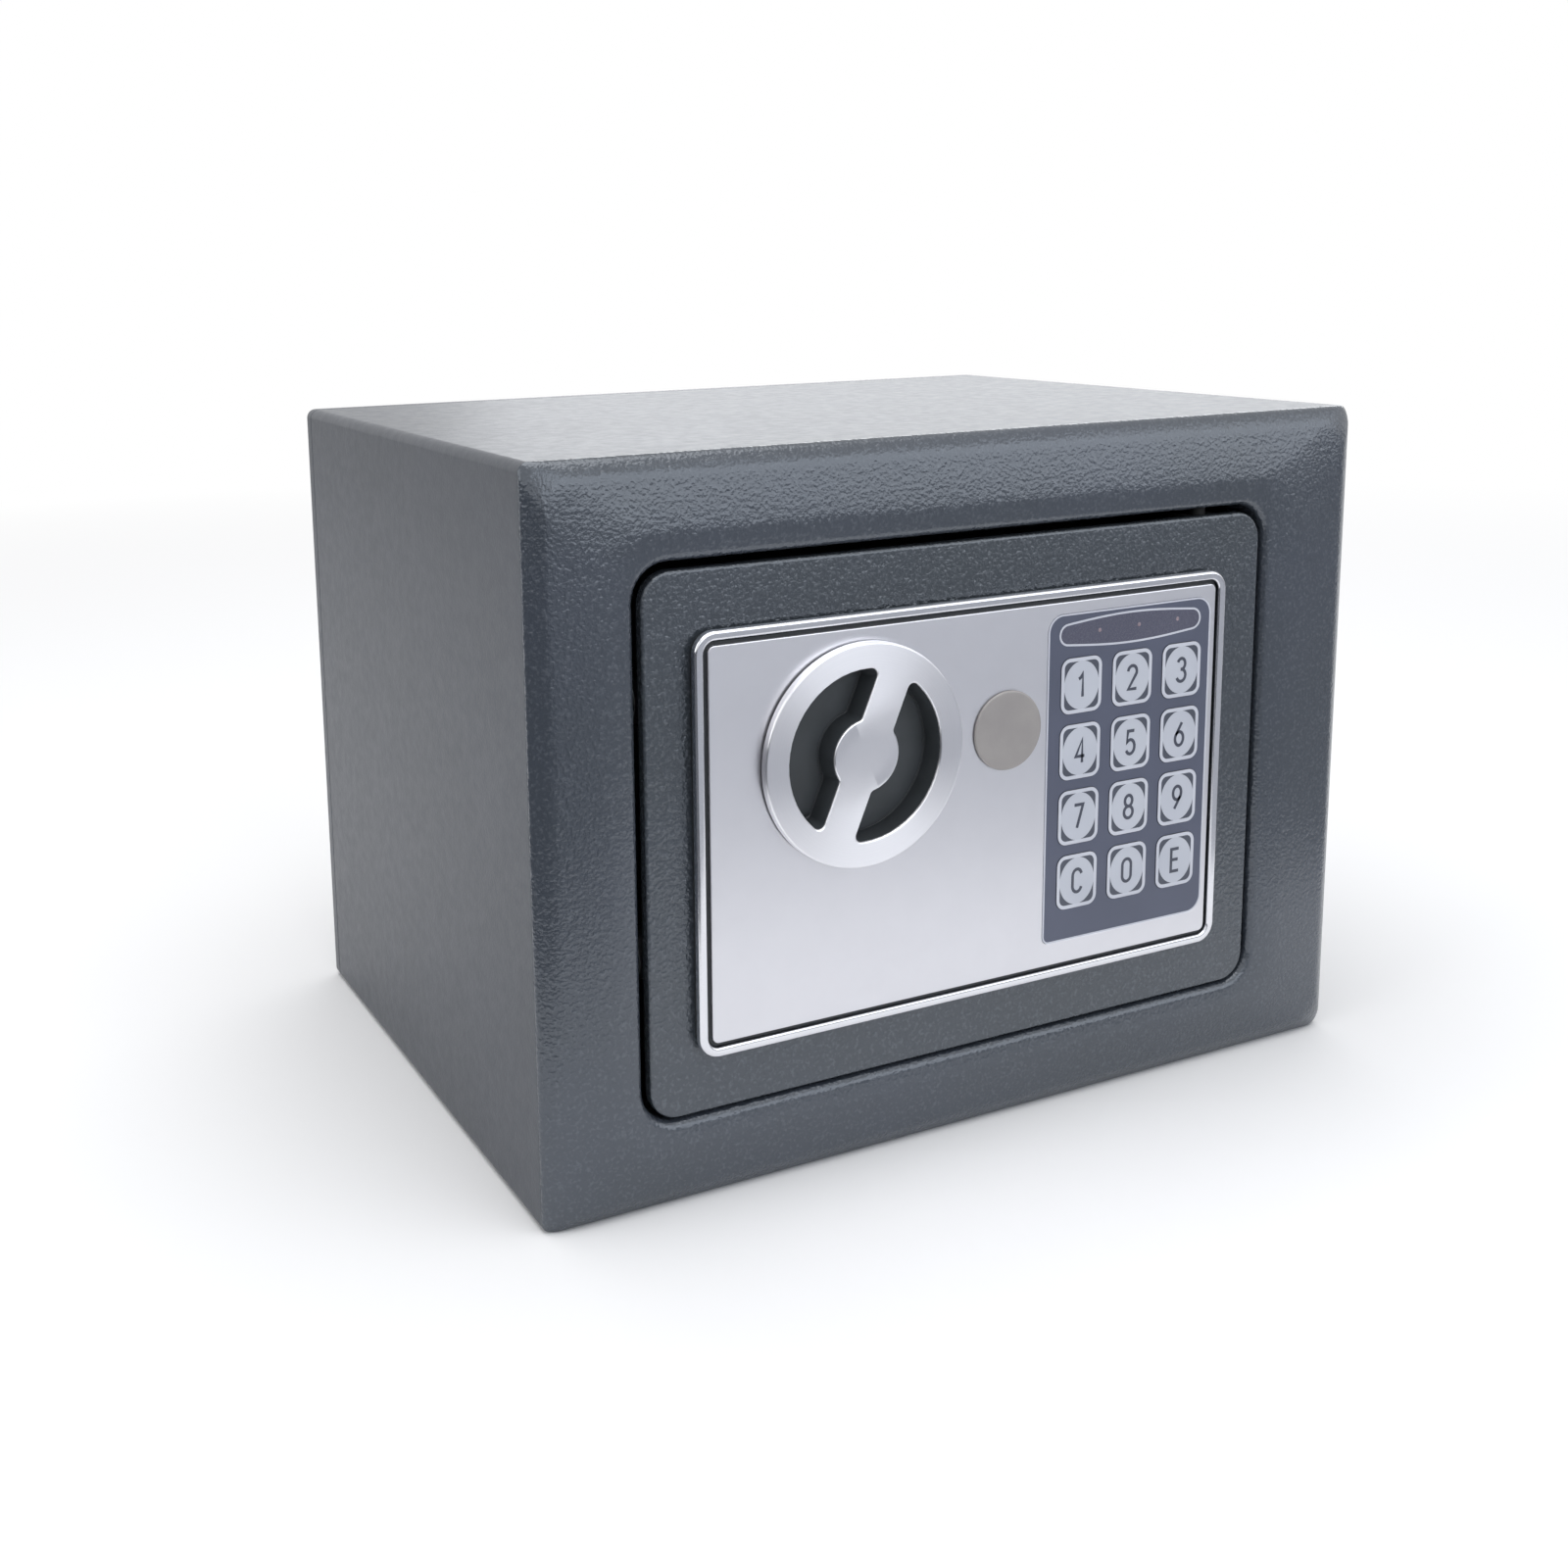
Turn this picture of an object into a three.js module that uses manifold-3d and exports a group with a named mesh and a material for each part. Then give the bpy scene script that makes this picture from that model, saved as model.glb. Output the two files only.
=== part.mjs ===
// A small sheet-steel electronic safe, in millimetres.
// The door faces -Y, +X is to the right and +Z is up. The origin is at the centre of the base.
import * as THREE from 'three';
import { mergeVertices } from 'three/addons/utils/BufferGeometryUtils.js';
import Module from 'manifold-3d';

const wasm = await Module();
wasm.setup();

// Housing
const housingWidth = 230;
const housingDepth = 170;
const housingHeight = 170;
const bodySheet = 1.2;
const bodyEdgeRadius = 2.5;
const backFlange = 6;
const backEdgeRadius = 2.5;
const anchorSpacing = 120;
const anchorHeight = 85;
const anchorHoleRadius = 4;
const plugHeadRadius = 6;
const plugHeadThickness = 1.2;
const matThickness = 2.5;
const matMargin = 3;
const matCornerRadius = 6;

// Front frame, pressed from one sheet
const frameSheet = 1.2;
const frameEdgeRadius = 5;
const frameCornerRadius = 4;
const lipRadius = 1.8;
const flangeDepth = 12;

// Door leaf, its middle set against the middle of the front
const doorOffsetX = -3.6;
const doorOffsetZ = -1;
const doorThickness = 3;
const doorSetback = 1;
const doorCornerRadius = 7;
const doorEdgeBevel = 0.5;
const doorGap = 1.4;

// Hinge, on the right
const hingeInset = 16;
const hingePinRadius = 2;
const hingeAxisBehindDoor = 2.6;
const knuckleWidth = 10;
const knuckleHeight = 12;
const knuckleWall = 1.8;
const knuckleTopSetback = 0.8;
const pinAboveDoor = 4.5;
const pinTail = 3;

// Front panel
const panelMarginLeft = 11.2;
const panelMarginRight = 13.5;
const panelMarginTop = 13.8;
const panelMarginBottom = 13;
const panelProud = 3.2;
const panelCornerRadius = 5;
const panelStepInset = 0.4;
const panelStepHeight = 1.5;
const bezelWidth = 2.2;
const grooveWidth = 1.1;
const facePlateThickness = 0.8;
const facePlateSetback = 0.3;
const facePlateCornerRadius = 1.6;

// Keypad
const keypadMarginRight = 1.8;
const keypadMarginTop = 3.2;
const keypadMarginBottom = 6;
const keypadCornerRadius = 4;
const keypadFootRadius = 1.6;
const overlayProud = 0.1;
const keyWidth = 12.1;
const keyHeight = 13.6;
const keyCornerRadius = 2.5;
const keyGapX = 3.4;
const keyGapZ = 2.75;
const keyColumns = 3;
const keyRows = 4;
const padSideLeft = 3.65;
const padSideRight = 2.65;
const padAboveKeys = 10.6;
const padBelowKeys = 7.75;
const keyProud = 0.15;
const keyFlangeWidth = 0.7;
const keyFlangeThickness = 0.7;
const keyStemRadius = 2;
const keyTravel = 0.4;
const boardThickness = 1.6;
const boardInset = 0.6;
const boardBelowKeys = 3.6;
const keyStemGap = 0.1;
const lightBarWidth = 43;
const lightBarHeight = 4;
const lightBarFromTop = 5;

// Turn knob
const knobMarginLeft = 12.5;
const knobMarginTop = 2.9;
const knobRadius = 26;
const knobProud = 2.5;
const knobSheet = 0.6;
const knobBevel = 0.5;
const cupRadius = 22;
const cupFloorThickness = 1.5;
const pocketDepth = 5.5;
const pocketRadius = 20;
const pocketCornerRadius = 1.6;
const hubRadius = 8.5;
const barWidth = 9;
const barTilt = 23 * Math.PI / 180;
const knobTurn = 60 * Math.PI / 180;
const shaftRadius = 5;
const wellWall = 0.7;
const wellFloor = 1;

// Emergency key lock and its cap
const knobCapGap = 4.7;
const capPadGap = 2.3;
const capRadius = 9.6;
const capProud = 0.7;
const capSpigotRadius = 5.6;
const capSpigotLength = 1.4;
const lockRadius = 8;
const lockLength = 20.6;
const lockMouthRadius = 6;
const lockMouthDepth = 2;
const plugRadius = 4.8;
const camThickness = 2;
const camReach = 20;
const camWidth = 8;
const plugTailRadius = 2.8;
const keywayWidth = 1.2;
const keywayHeight = 6;
const keywayDepth = 3;

// Bolts and their drive
const boltRadius = 6;
const boltTravel = 13;
const boltSpread = 30;
const boltTipSetback = 3;
const boltBehindFlange = 1.5;
const boltBevel = 1.2;
const carriageThickness = 1.9;
const linkWidth = 16;
const guideSetback = 11.2;
const guideThickness = 3;
const guideFootThickness = 1.6;
const guideMargin = 4;
const guideDepth = 24;
const studRadius = 2.5;
const crankThickness = 2.2;
const crankHubRadius = 8;
const crankEndRadius = 4.5;
const crankPinRadius = 2;
const armBorder = 3;
const tabGap = 0.8;

// Solenoid
const solenoidFromKnob = 13.9;
const solenoidWidth = 20;
const solenoidDepth = 18;
const solenoidHeight = 22;
const solenoidBelowKnob = 68.8;
const solenoidSheet = 1.5;
const coilRadius = 7.4;
const plungerRadius = 2.5;
const plungerReach = 20;
const plungerTravel = 5;
const releaseArmDrop = 6.5;
const releaseArmHeight = 4;
const releaseArmWidth = 8;
const springWire = 0.8;
const springTurns = 5;
const springSlack = 0.4;
const springEndGap = 0.1;
const releaseArmThickness = 2;
const releaseFingerDepth = 4;

// Inner cover, batteries and electronics
const coverInsetLeft = 7.2;
const coverInsetRight = 25;
const coverInsetBottom = 6;
const coverInsetTop = 5.8;
const coverDepth = 38;
const coverWall = 1.5;
const coverCornerRadius = 4;
const coverPostRadius = 3.5;
const coverPostInset = 6.5;
const coverScrewRadius = 1.5;
const coverScrewHeadRadius = 3;
const coverScrewLength = 8;
const screwHeadHeight = 1.6;
const screwSlotReach = 2;
const screwSlotHalf = 0.4;
const screwSlotDepth = 0.9;
const batteryRadius = 7.25;
const batteryLength = 50.5;
const batteryPitch = 14.8;
const batteryCount = 4;
const holderWall = 1.2;
const holderFromCoverRight = 14;
const holderFromCoverFoot = 2.2;
const lidLedge = 1.5;
const lidGripWidth = 12;
const lidGripHeight = 2;
const lidGripProud = 1;
const lidGripBelowTop = 4;
const controlWidth = 58;
const controlAboveHolder = 2.5;
const controlFromRight = 14;
const controlFromTop = 4.5;
const controlBossLength = 13.8;
const controlBossRadius = 2.5;
// Chips on the control board: middle from the board's middle, width, height and rise
const controlChips = [[0, 0, 14, 7, 2], [-16, 6, 8, 6, 1.8]];
const chipSunk = 0.5;
const switchSize = 6;
const switchRise = 2.4;
const resetFromCorner = 8;
const resetRadius = 2.6;
const resetProud = 1.5;
const resetTravel = 2;
const cableWidth = 8;
const cableThickness = 0.8;
const cableBelowTop = 22;
const cableSag = 6;
const cableStraight = 2.5;
const cableFromLights = 6;

// Clearances
const fitGap = 0.3;
const runningGap = 0.4;
const wellGap = 0.5;

// Overall sizes of the keypad, the panel and the door, from what they hold
const keyPitchX = keyWidth + keyGapX;
const keyPitchZ = keyHeight + keyGapZ;
const keypadWidth = padSideLeft + keyWidth + (keyColumns - 1) * keyPitchX + padSideRight;
const keypadHeight = padAboveKeys + keyHeight + (keyRows - 1) * keyPitchZ + padBelowKeys;
const plateInset = bezelWidth + grooveWidth;
const capFromKnob = knobRadius + knobCapGap + capRadius;
const plateWidth = knobMarginLeft + knobRadius + capFromKnob + capRadius + capPadGap
  + keypadWidth + keypadMarginRight;
const plateHeight = keypadMarginTop + keypadHeight + keypadMarginBottom;
const doorWidth = panelMarginLeft + plateWidth + 2 * plateInset + panelMarginRight;
const doorHeight = panelMarginTop + plateHeight + 2 * plateInset + panelMarginBottom;

// Planes and edges
const front = -housingDepth / 2;
const back = housingDepth / 2;
const side = housingWidth / 2;
const frameSeam = front + frameEdgeRadius;
const flangeRear = front + flangeDepth;
const doorMiddle = housingHeight / 2 + doorOffsetZ;
const doorLeft = doorOffsetX - doorWidth / 2;
const doorRight = doorOffsetX + doorWidth / 2;
const doorFoot = doorMiddle - doorHeight / 2;
const doorTop = doorMiddle + doorHeight / 2;
const doorFront = front + doorSetback;
const doorRear = doorFront + doorThickness;
const hingeX = doorRight - hingeInset;
const hingeY = doorRear + hingeAxisBehindDoor;

const panelLeft = doorLeft + panelMarginLeft;
const panelRight = doorRight - panelMarginRight;
const panelFoot = doorFoot + panelMarginBottom;
const panelTop = doorTop - panelMarginTop;
const bezelFront = doorFront - panelProud;
const bezelRear = doorFront - panelStepHeight;
const plateFront = bezelFront + facePlateSetback;
const plateRear = plateFront + facePlateThickness;
const plateLeft = panelLeft + plateInset;
const plateRight = panelRight - plateInset;
const plateFoot = panelFoot + plateInset;
const plateTop = panelTop - plateInset;

const padRight = plateRight - keypadMarginRight;
const padLeft = padRight - keypadWidth;
const padTop = plateTop - keypadMarginTop;
const padFoot = padTop - keypadHeight;
const keyFront = plateFront - overlayProud - keyProud;
const keyFirstX = padLeft + padSideLeft + keyWidth / 2;
const keyFirstZ = padTop - padAboveKeys - keyHeight / 2;
const keyLastX = keyFirstX + (keyColumns - 1) * keyPitchX;
const keyLastZ = keyFirstZ - (keyRows - 1) * keyPitchZ;
const lightX = (padLeft + padRight) / 2;
const lightZ = padTop - lightBarFromTop;

const knobX = plateLeft + knobMarginLeft + knobRadius;
const knobZ = plateTop - knobMarginTop - knobRadius;
const knobFront = plateFront - knobProud;
const cupFloorFront = knobFront + pocketDepth;
const cupFloorRear = cupFloorFront + cupFloorThickness;
const wellRadius = cupRadius + wellGap;
const lockX = knobX + capFromKnob;
const lockFront = plateRear - wellGap;
const lockRear = lockFront + lockLength;

const boltY = flangeRear + boltBehindFlange + boltRadius;
const boltHeights = [doorMiddle + boltSpread, doorMiddle - boltSpread];
const boltTip = doorLeft + boltTipSetback;
const carriageRear = boltY - boltRadius + 0.5;
const carriageFront = carriageRear - carriageThickness;
const guideLeft = doorLeft + guideSetback;
const guideRight = guideLeft + guideThickness;
const guideReach = boltSpread + boltRadius + guideMargin;
const linkLeft = guideRight + boltTravel + 1;
const linkRight = linkLeft + linkWidth;
const crankRadius = boltTravel / (2 * Math.sin(knobTurn / 2));
const crankFront = doorRear + wellGap;
const crankRear = crankFront + crankThickness;
const crankPinX = knobX + crankRadius * Math.sin(knobTurn / 2);
const crankPinLow = knobZ + crankRadius * Math.cos(knobTurn / 2);
const crankPinHigh = knobZ + crankRadius;

const solenoidX = knobX + solenoidFromKnob;
const solenoidY = doorRear + solenoidDepth / 2;
const solenoidFoot = knobZ - solenoidBelowKnob;
const solenoidTop = solenoidFoot + solenoidHeight;
const plungerTop = solenoidTop + plungerReach;
const tabFoot = plungerTop + 1;
const armFoot = plungerTop + plungerTravel + 1;
const armHeight = 2 * studRadius + 5;
const studX = linkRight + 6;
const studZ = armFoot + armHeight / 2;
const tabWidth = boltTravel - 2 * plungerRadius - 2;
const tabLeft = solenoidX + plungerRadius + tabGap;
const releaseTop = plungerTop - releaseArmDrop;
const releaseFoot = releaseTop - releaseArmHeight;
const camFront = lockRear + fitGap;
const camRear = camFront + camThickness;

const coverLeft = doorLeft + coverInsetLeft;
const coverRight = doorRight - coverInsetRight;
const coverFoot = doorFoot + coverInsetBottom;
const coverTop = doorTop - coverInsetTop;
const coverRear = doorRear + coverDepth;
const coverInside = coverRear - coverWall;
const holderRear = coverInside - fitGap;
const holderFront = holderRear - 2 * batteryRadius - 2 * fitGap - holderWall;
const holderRight = coverRight - holderFromCoverRight;
const holderLeft = holderRight - batteryLength - 4 * fitGap - 2 * holderWall;
const holderFoot = coverFoot + coverWall + holderFromCoverFoot;
const holderTop = holderFoot + batteryCount * batteryPitch + 2 * holderWall;
const controlRear = coverInside - controlBossLength;
const controlFront = controlRear - boardThickness;
const controlRight = coverRight - controlFromRight;
const controlLeft = controlRight - controlWidth;
const controlTop = coverTop - coverWall - controlFromTop;
const controlFoot = holderTop + controlAboveHolder;
const resetX = controlRight - resetFromCorner;
const resetZ = controlTop - resetFromCorner;
const cableX = lightX - cableFromLights;

// Finishes
function finish(color, roughness, metalness) {
  return new THREE.MeshStandardMaterial({ color, roughness, metalness });
}
const greyPaint = finish(0x6b7276, 0.5, 0.2);
const doorPaint = finish(0x5d6468, 0.45, 0.25);
const brightTrim = finish(0xd4d6da, 0.25, 0.9);
const satinPlate = finish(0xb9bcc4, 0.4, 0.7);
const satinKnob = finish(0xc6c8cf, 0.35, 0.8);
const capMetal = finish(0xa5a09e, 0.5, 0.4);
const darkPlastic = finish(0x33373a, 0.55, 0);
const slatePad = finish(0x4e5468, 0.5, 0);
const keyFace = finish(0xb4b8c0, 0.45, 0.3);
const zincSteel = finish(0xa9adb0, 0.35, 0.9);
const springSteel = finish(0xbdbfc2, 0.3, 0.9);
const brassFinish = finish(0xb08f4a, 0.35, 0.9);
const copperWinding = finish(0x9a5a32, 0.45, 0.5);
const circuitGreen = finish(0x2d5a3c, 0.5, 0);
const lightSmoke = finish(0x4a4650, 0.3, 0);
const cableGrey = finish(0x8d9094, 0.6, 0);
const batterySleeve = finish(0x2b2f36, 0.35, 0.2);
const redPlastic = finish(0xa82a24, 0.4, 0);
const matFabric = finish(0x2a2c2e, 0.95, 0);
const blackRubber = finish(0x1e1f20, 0.8, 0);

// Solids
function solidFromMesh(positions, indices) {
  return new wasm.Manifold(new wasm.Mesh({
    numProp: 3,
    vertProperties: new Float32Array(positions),
    triVerts: new Uint32Array(indices),
  }));
}

function solid(geometry) {
  geometry.deleteAttribute('normal');
  geometry.deleteAttribute('uv');
  const merged = mergeVertices(geometry, 1e-4);
  return solidFromMesh(merged.attributes.position.array, merged.index.array);
}

function geometryOf(shape) {
  const mesh = shape.getMesh();
  const geometry = new THREE.BufferGeometry();
  geometry.setAttribute('position', new THREE.BufferAttribute(new Float32Array(mesh.vertProperties), 3));
  geometry.setIndex(new THREE.BufferAttribute(new Uint32Array(mesh.triVerts), 1));
  geometry.computeVertexNormals();
  return geometry;
}

function join(first, ...others) {
  return others.reduce((sum, other) => sum.add(other), first);
}

function cut(first, ...others) {
  return others.reduce((rest, other) => rest.subtract(other), first);
}

function block(x0, x1, y0, y1, z0, z1) {
  const geometry = new THREE.BoxGeometry(x1 - x0, y1 - y0, z1 - z0);
  geometry.translate((x0 + x1) / 2, (y0 + y1) / 2, (z0 + z1) / 2);
  return solid(geometry);
}

// Rods along each axis
function rodX(radius, x0, x1, y, z, sides = 24) {
  const geometry = new THREE.CylinderGeometry(radius, radius, x1 - x0, sides);
  geometry.rotateZ(Math.PI / 2);
  geometry.translate((x0 + x1) / 2, y, z);
  return solid(geometry);
}

function rodY(radius, y0, y1, x, z, sides = 24) {
  const geometry = new THREE.CylinderGeometry(radius, radius, y1 - y0, sides);
  geometry.translate(x, (y0 + y1) / 2, z);
  return solid(geometry);
}

function rodZ(radius, z0, z1, x, y, sides = 24) {
  const geometry = new THREE.CylinderGeometry(radius, radius, z1 - z0, sides);
  geometry.rotateX(Math.PI / 2);
  geometry.translate(x, y, (z0 + z1) / 2);
  return solid(geometry);
}

// A profile of [radius, y] points turned about a line along Y through (x, z)
function turned(profile, x, z, sides = 48) {
  const points = profile.map(([radius, y]) => new THREE.Vector2(radius, y));
  const geometry = new THREE.LatheGeometry(points, sides);
  geometry.translate(x, 0, z);
  return solid(geometry);
}

// A flat outline in X and Z, thickened from y0 back to y1
function slab(outline, y0, y1, curveSegments = 2) {
  const geometry = new THREE.ExtrudeGeometry(outline, { depth: y1 - y0, bevelEnabled: false, curveSegments });
  geometry.rotateX(Math.PI / 2);
  geometry.translate(0, y1, 0);
  return solid(geometry);
}

// Corner radii run from the lower left corner round to the right
function roundedOutline(x0, x1, z0, z1, radii) {
  const corners = Array.isArray(radii) ? radii : [radii, radii, radii, radii];
  const [lowLeft, lowRight, highRight, highLeft] = corners;
  const outline = new THREE.Shape();
  outline.absarc(x0 + lowLeft, z0 + lowLeft, lowLeft, Math.PI, 1.5 * Math.PI);
  outline.absarc(x1 - lowRight, z0 + lowRight, lowRight, 1.5 * Math.PI, 2 * Math.PI);
  outline.absarc(x1 - highRight, z1 - highRight, highRight, 0, Math.PI / 2);
  outline.absarc(x0 + highLeft, z1 - highLeft, highLeft, Math.PI / 2, Math.PI);
  return outline;
}

function roundedSlab(x0, x1, z0, z1, radii, y0, y1, curveSegments = 2) {
  return slab(roundedOutline(x0, x1, z0, z1, radii), y0, y1, curveSegments);
}

// One ring of a pressed sheet: a rounded rectangle in X and Z at a depth y
function sheetRing(x0, x1, z0, z1, radius, y) {
  const steps = 4;
  const corners = [[x1, z0, -1, 1, 1.5], [x1, z1, -1, -1, 0], [x0, z1, 1, -1, 0.5], [x0, z0, 1, 1, 1]];
  const ring = [];
  for (const [cornerX, cornerZ, inX, inZ, start] of corners) {
    for (let i = 0; i <= steps; i += 1) {
      const angle = (start + 0.5 * i / steps) * Math.PI;
      ring.push([
        cornerX + inX * radius + radius * Math.cos(angle),
        y,
        cornerZ + inZ * radius + radius * Math.sin(angle),
      ]);
    }
  }
  return ring;
}

// Negative where the faces point inwards
function enclosedVolume(positions, indices) {
  const corner = (index) => new THREE.Vector3().fromArray(positions, 3 * index);
  let volume = 0;
  for (let i = 0; i < indices.length; i += 3) {
    const [a, b, c] = [corner(indices[i]), corner(indices[i + 1]), corner(indices[i + 2])];
    volume += a.dot(b.cross(c)) / 6;
  }
  return volume;
}

// Skins a run of rings; a closed run joins its last ring to its first, an open one is capped
function skin(rings, closed) {
  const count = rings[0].length;
  const positions = rings.flat(2);
  const indices = [];
  const last = closed ? rings.length : rings.length - 1;
  for (let r = 0; r < last; r += 1) {
    const here = r * count;
    const next = ((r + 1) % rings.length) * count;
    for (let i = 0; i < count; i += 1) {
      const j = (i + 1) % count;
      indices.push(here + i, here + j, next + j, here + i, next + j, next + i);
    }
  }
  if (!closed) {
    const top = (rings.length - 1) * count;
    for (let i = 1; i < count - 1; i += 1) {
      indices.push(0, i + 1, i, top, top + i, top + i + 1);
    }
  }
  if (enclosedVolume(positions, indices) < 0) {
    indices.reverse();
  }
  return solidFromMesh(positions, indices);
}

// A flat pad in X and Y, from z0 up to z1
function slabFlat(x0, x1, y0, y1, radius, z0, z1) {
  const geometry = new THREE.ExtrudeGeometry(
    roundedOutline(x0, x1, y0, y1, radius), { depth: z1 - z0, bevelEnabled: false, curveSegments: 5 });
  geometry.translate(0, 0, z0);
  return solid(geometry);
}

// Housing
function bodyWrap() {
  const inner = Math.max(bodyEdgeRadius - bodySheet, 0.3);
  const rear = back - backFlange;
  const outside = (y) => sheetRing(-side, side, 0, housingHeight, bodyEdgeRadius, y);
  const inside = (y) => sheetRing(
    -side + bodySheet, side - bodySheet, bodySheet, housingHeight - bodySheet, inner, y);
  return skin([outside(frameSeam), outside(rear), inside(rear), inside(frameSeam)], true);
}

function backPanel() {
  const rings = [];
  const seam = back - backFlange;
  const steps = 3;
  const rim = (inset, y) => sheetRing(
    -side + inset, side - inset, inset, housingHeight - inset,
    Math.max(bodyEdgeRadius - inset / 2, 0.6), y);
  rings.push(rim(bodySheet, back - bodySheet));
  rings.push(rim(bodySheet, seam));
  rings.push(rim(0, seam));
  for (let i = 0; i <= steps; i += 1) {
    const angle = 0.5 * Math.PI * i / steps;
    rings.push(rim(backEdgeRadius * (1 - Math.cos(angle)), back - backEdgeRadius * (1 - Math.sin(angle))));
  }
  const holes = [-1, 1].map((way) => rodY(
    anchorHoleRadius, back - 2 * backFlange, back + 1, way * anchorSpacing / 2, anchorHeight));
  return cut(skin(rings, false), ...holes);
}

function anchorPlug(way) {
  const seat = back - bodySheet;
  const x = way * anchorSpacing / 2;
  const head = rodY(plugHeadRadius, seat - plugHeadThickness, seat, x, anchorHeight);
  const neck = rodY(anchorHoleRadius - fitGap, seat - plugHeadThickness / 2, back - fitGap, x, anchorHeight);
  return join(head, neck);
}

function floorMat() {
  const foot = bodySheet;
  return slabFlat(
    -side + bodySheet + matMargin, side - bodySheet - matMargin,
    flangeRear + matMargin, back - bodySheet - matMargin, matCornerRadius, foot, foot + matThickness);
}

function openingRing(grow, y) {
  return sheetRing(
    doorLeft - doorGap - grow, doorRight + doorGap + grow,
    doorFoot - doorGap - grow, doorTop + doorGap + grow, doorCornerRadius + doorGap + grow, y);
}

function borderRing(inset, radius, y) {
  return sheetRing(-side + inset, side - inset, inset, housingHeight - inset, radius, y);
}

// The sheet turns in at the outer edge, runs flat to the opening and rolls back into a flange
function frontFrame() {
  const rings = [];
  const steps = 4;
  const innerEdge = frameEdgeRadius - frameSheet;
  const innerLip = lipRadius - frameSheet;
  for (let i = 0; i <= steps; i += 1) {
    const angle = 0.5 * Math.PI * i / steps;
    const radius = bodyEdgeRadius + (frameCornerRadius - bodyEdgeRadius) * i / steps;
    const inset = frameEdgeRadius * (1 - Math.cos(angle));
    rings.push(borderRing(inset, radius, frameSeam - frameEdgeRadius * Math.sin(angle)));
  }
  for (let i = 0; i <= steps; i += 1) {
    const angle = 0.5 * Math.PI * i / steps;
    const grow = lipRadius * (1 - Math.sin(angle));
    rings.push(openingRing(grow, front + lipRadius * (1 - Math.cos(angle))));
  }
  rings.push(openingRing(0, flangeRear));
  rings.push(openingRing(frameSheet, flangeRear));
  rings.push(openingRing(frameSheet, front + frameSheet + innerLip));
  rings.push(openingRing(frameSheet + innerLip, front + frameSheet));
  for (let i = steps; i >= 0; i -= 1) {
    const angle = 0.5 * Math.PI * i / steps;
    const inset = frameEdgeRadius - innerEdge * Math.cos(angle);
    const radius = Math.max(bodyEdgeRadius - frameSheet, 0.3);
    rings.push(borderRing(inset, radius, frameSeam - innerEdge * Math.sin(angle)));
  }
  const reach = doorGap + 2 * frameSheet;
  const holes = [[doorTop, doorTop + reach], [doorFoot - reach, doorFoot]].map(([low, high]) => rodZ(
    hingePinRadius + runningGap, low, high, hingeX, hingeY));
  return cut(skin(rings, true), ...holes);
}

// Door leaf with its cover posts
function coverPostPlaces() {
  const xs = [coverLeft + coverPostInset, coverRight - coverPostInset];
  const zs = [coverTop - coverPostInset, coverFoot + coverPostInset];
  return zs.flatMap((z) => xs.map((x) => [x, z]));
}

function boardEdges(grow) {
  return [
    padLeft + boardInset - grow, padRight - boardInset + grow,
    keyLastZ - keyHeight / 2 - boardBelowKeys - grow, padTop - boardInset + grow,
  ];
}

function doorPlate() {
  const leaf = join(
    roundedSlab(
      doorLeft + doorEdgeBevel, doorRight - doorEdgeBevel, doorFoot + doorEdgeBevel, doorTop - doorEdgeBevel,
      doorCornerRadius - doorEdgeBevel, doorFront, doorFront + doorEdgeBevel),
    roundedSlab(
      doorLeft, doorRight, doorFoot, doorTop, doorCornerRadius, doorFront + doorEdgeBevel, doorRear));
  const posts = coverPostPlaces().map(([x, z]) => rodY(
    coverPostRadius, doorRear - doorThickness / 2, coverInside - fitGap, x, z, 16));
  const [x0, x1, z0, z1] = boardEdges(runningGap);
  const windows = [
    rodY(wellRadius + wellWall + fitGap, doorFront - 1, doorRear + 1, knobX, knobZ, 40),
    rodY(lockRadius + fitGap, doorFront - 1, doorRear + 1, lockX, knobZ),
    block(x0, x1, doorFront - 1, doorRear + 1, z0, z1),
  ];
  const tapped = coverPostPlaces().map(([x, z]) => rodY(
    coverScrewRadius + fitGap, coverInside - coverScrewLength, coverInside + 1, x, z, 12));
  return cut(join(leaf, ...posts), ...windows, ...tapped);
}

// Hinge
function knuckleSpan(way) {
  const top = way > 0 ? doorTop - knuckleTopSetback : doorFoot + knuckleTopSetback + knuckleHeight;
  return [top - knuckleHeight, top];
}

function hingeKnuckle(way) {
  const [low, high] = knuckleSpan(way);
  const depth = hingeAxisBehindDoor + hingePinRadius + fitGap + knuckleWall;
  const body = block(
    hingeX - knuckleWidth / 2, hingeX + knuckleWidth / 2, doorRear, doorRear + depth, low, high);
  return cut(body, rodZ(hingePinRadius + fitGap, low - 1, high + 1, hingeX, hingeY));
}

function hingePin(way) {
  const [low, high] = knuckleSpan(way);
  const foot = way > 0 ? low - pinTail : doorFoot - pinAboveDoor;
  const top = way > 0 ? doorTop + pinAboveDoor : high + pinTail;
  return rodZ(hingePinRadius, foot, top, hingeX, hingeY, 20);
}

// Front panel: a plastic tub with a well for the knob, a bright rim and a satin plate
function keyWindow() {
  const reachX = keyWidth / 2 + keyFlangeWidth + fitGap;
  const reachZ = keyHeight / 2 + keyFlangeWidth + fitGap;
  return [keyFirstX - reachX, keyLastX + reachX, keyLastZ - reachZ, keyFirstZ + reachZ];
}

function lightWindow(grow) {
  return [
    lightX - lightBarWidth / 2 - grow, lightX + lightBarWidth / 2 + grow,
    lightZ - lightBarHeight / 2 - grow, lightZ + lightBarHeight / 2 + grow,
  ];
}

function blockThrough([x0, x1, z0, z1], y0, y1) {
  return block(x0, x1, y0, y1, z0, z1);
}

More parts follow.
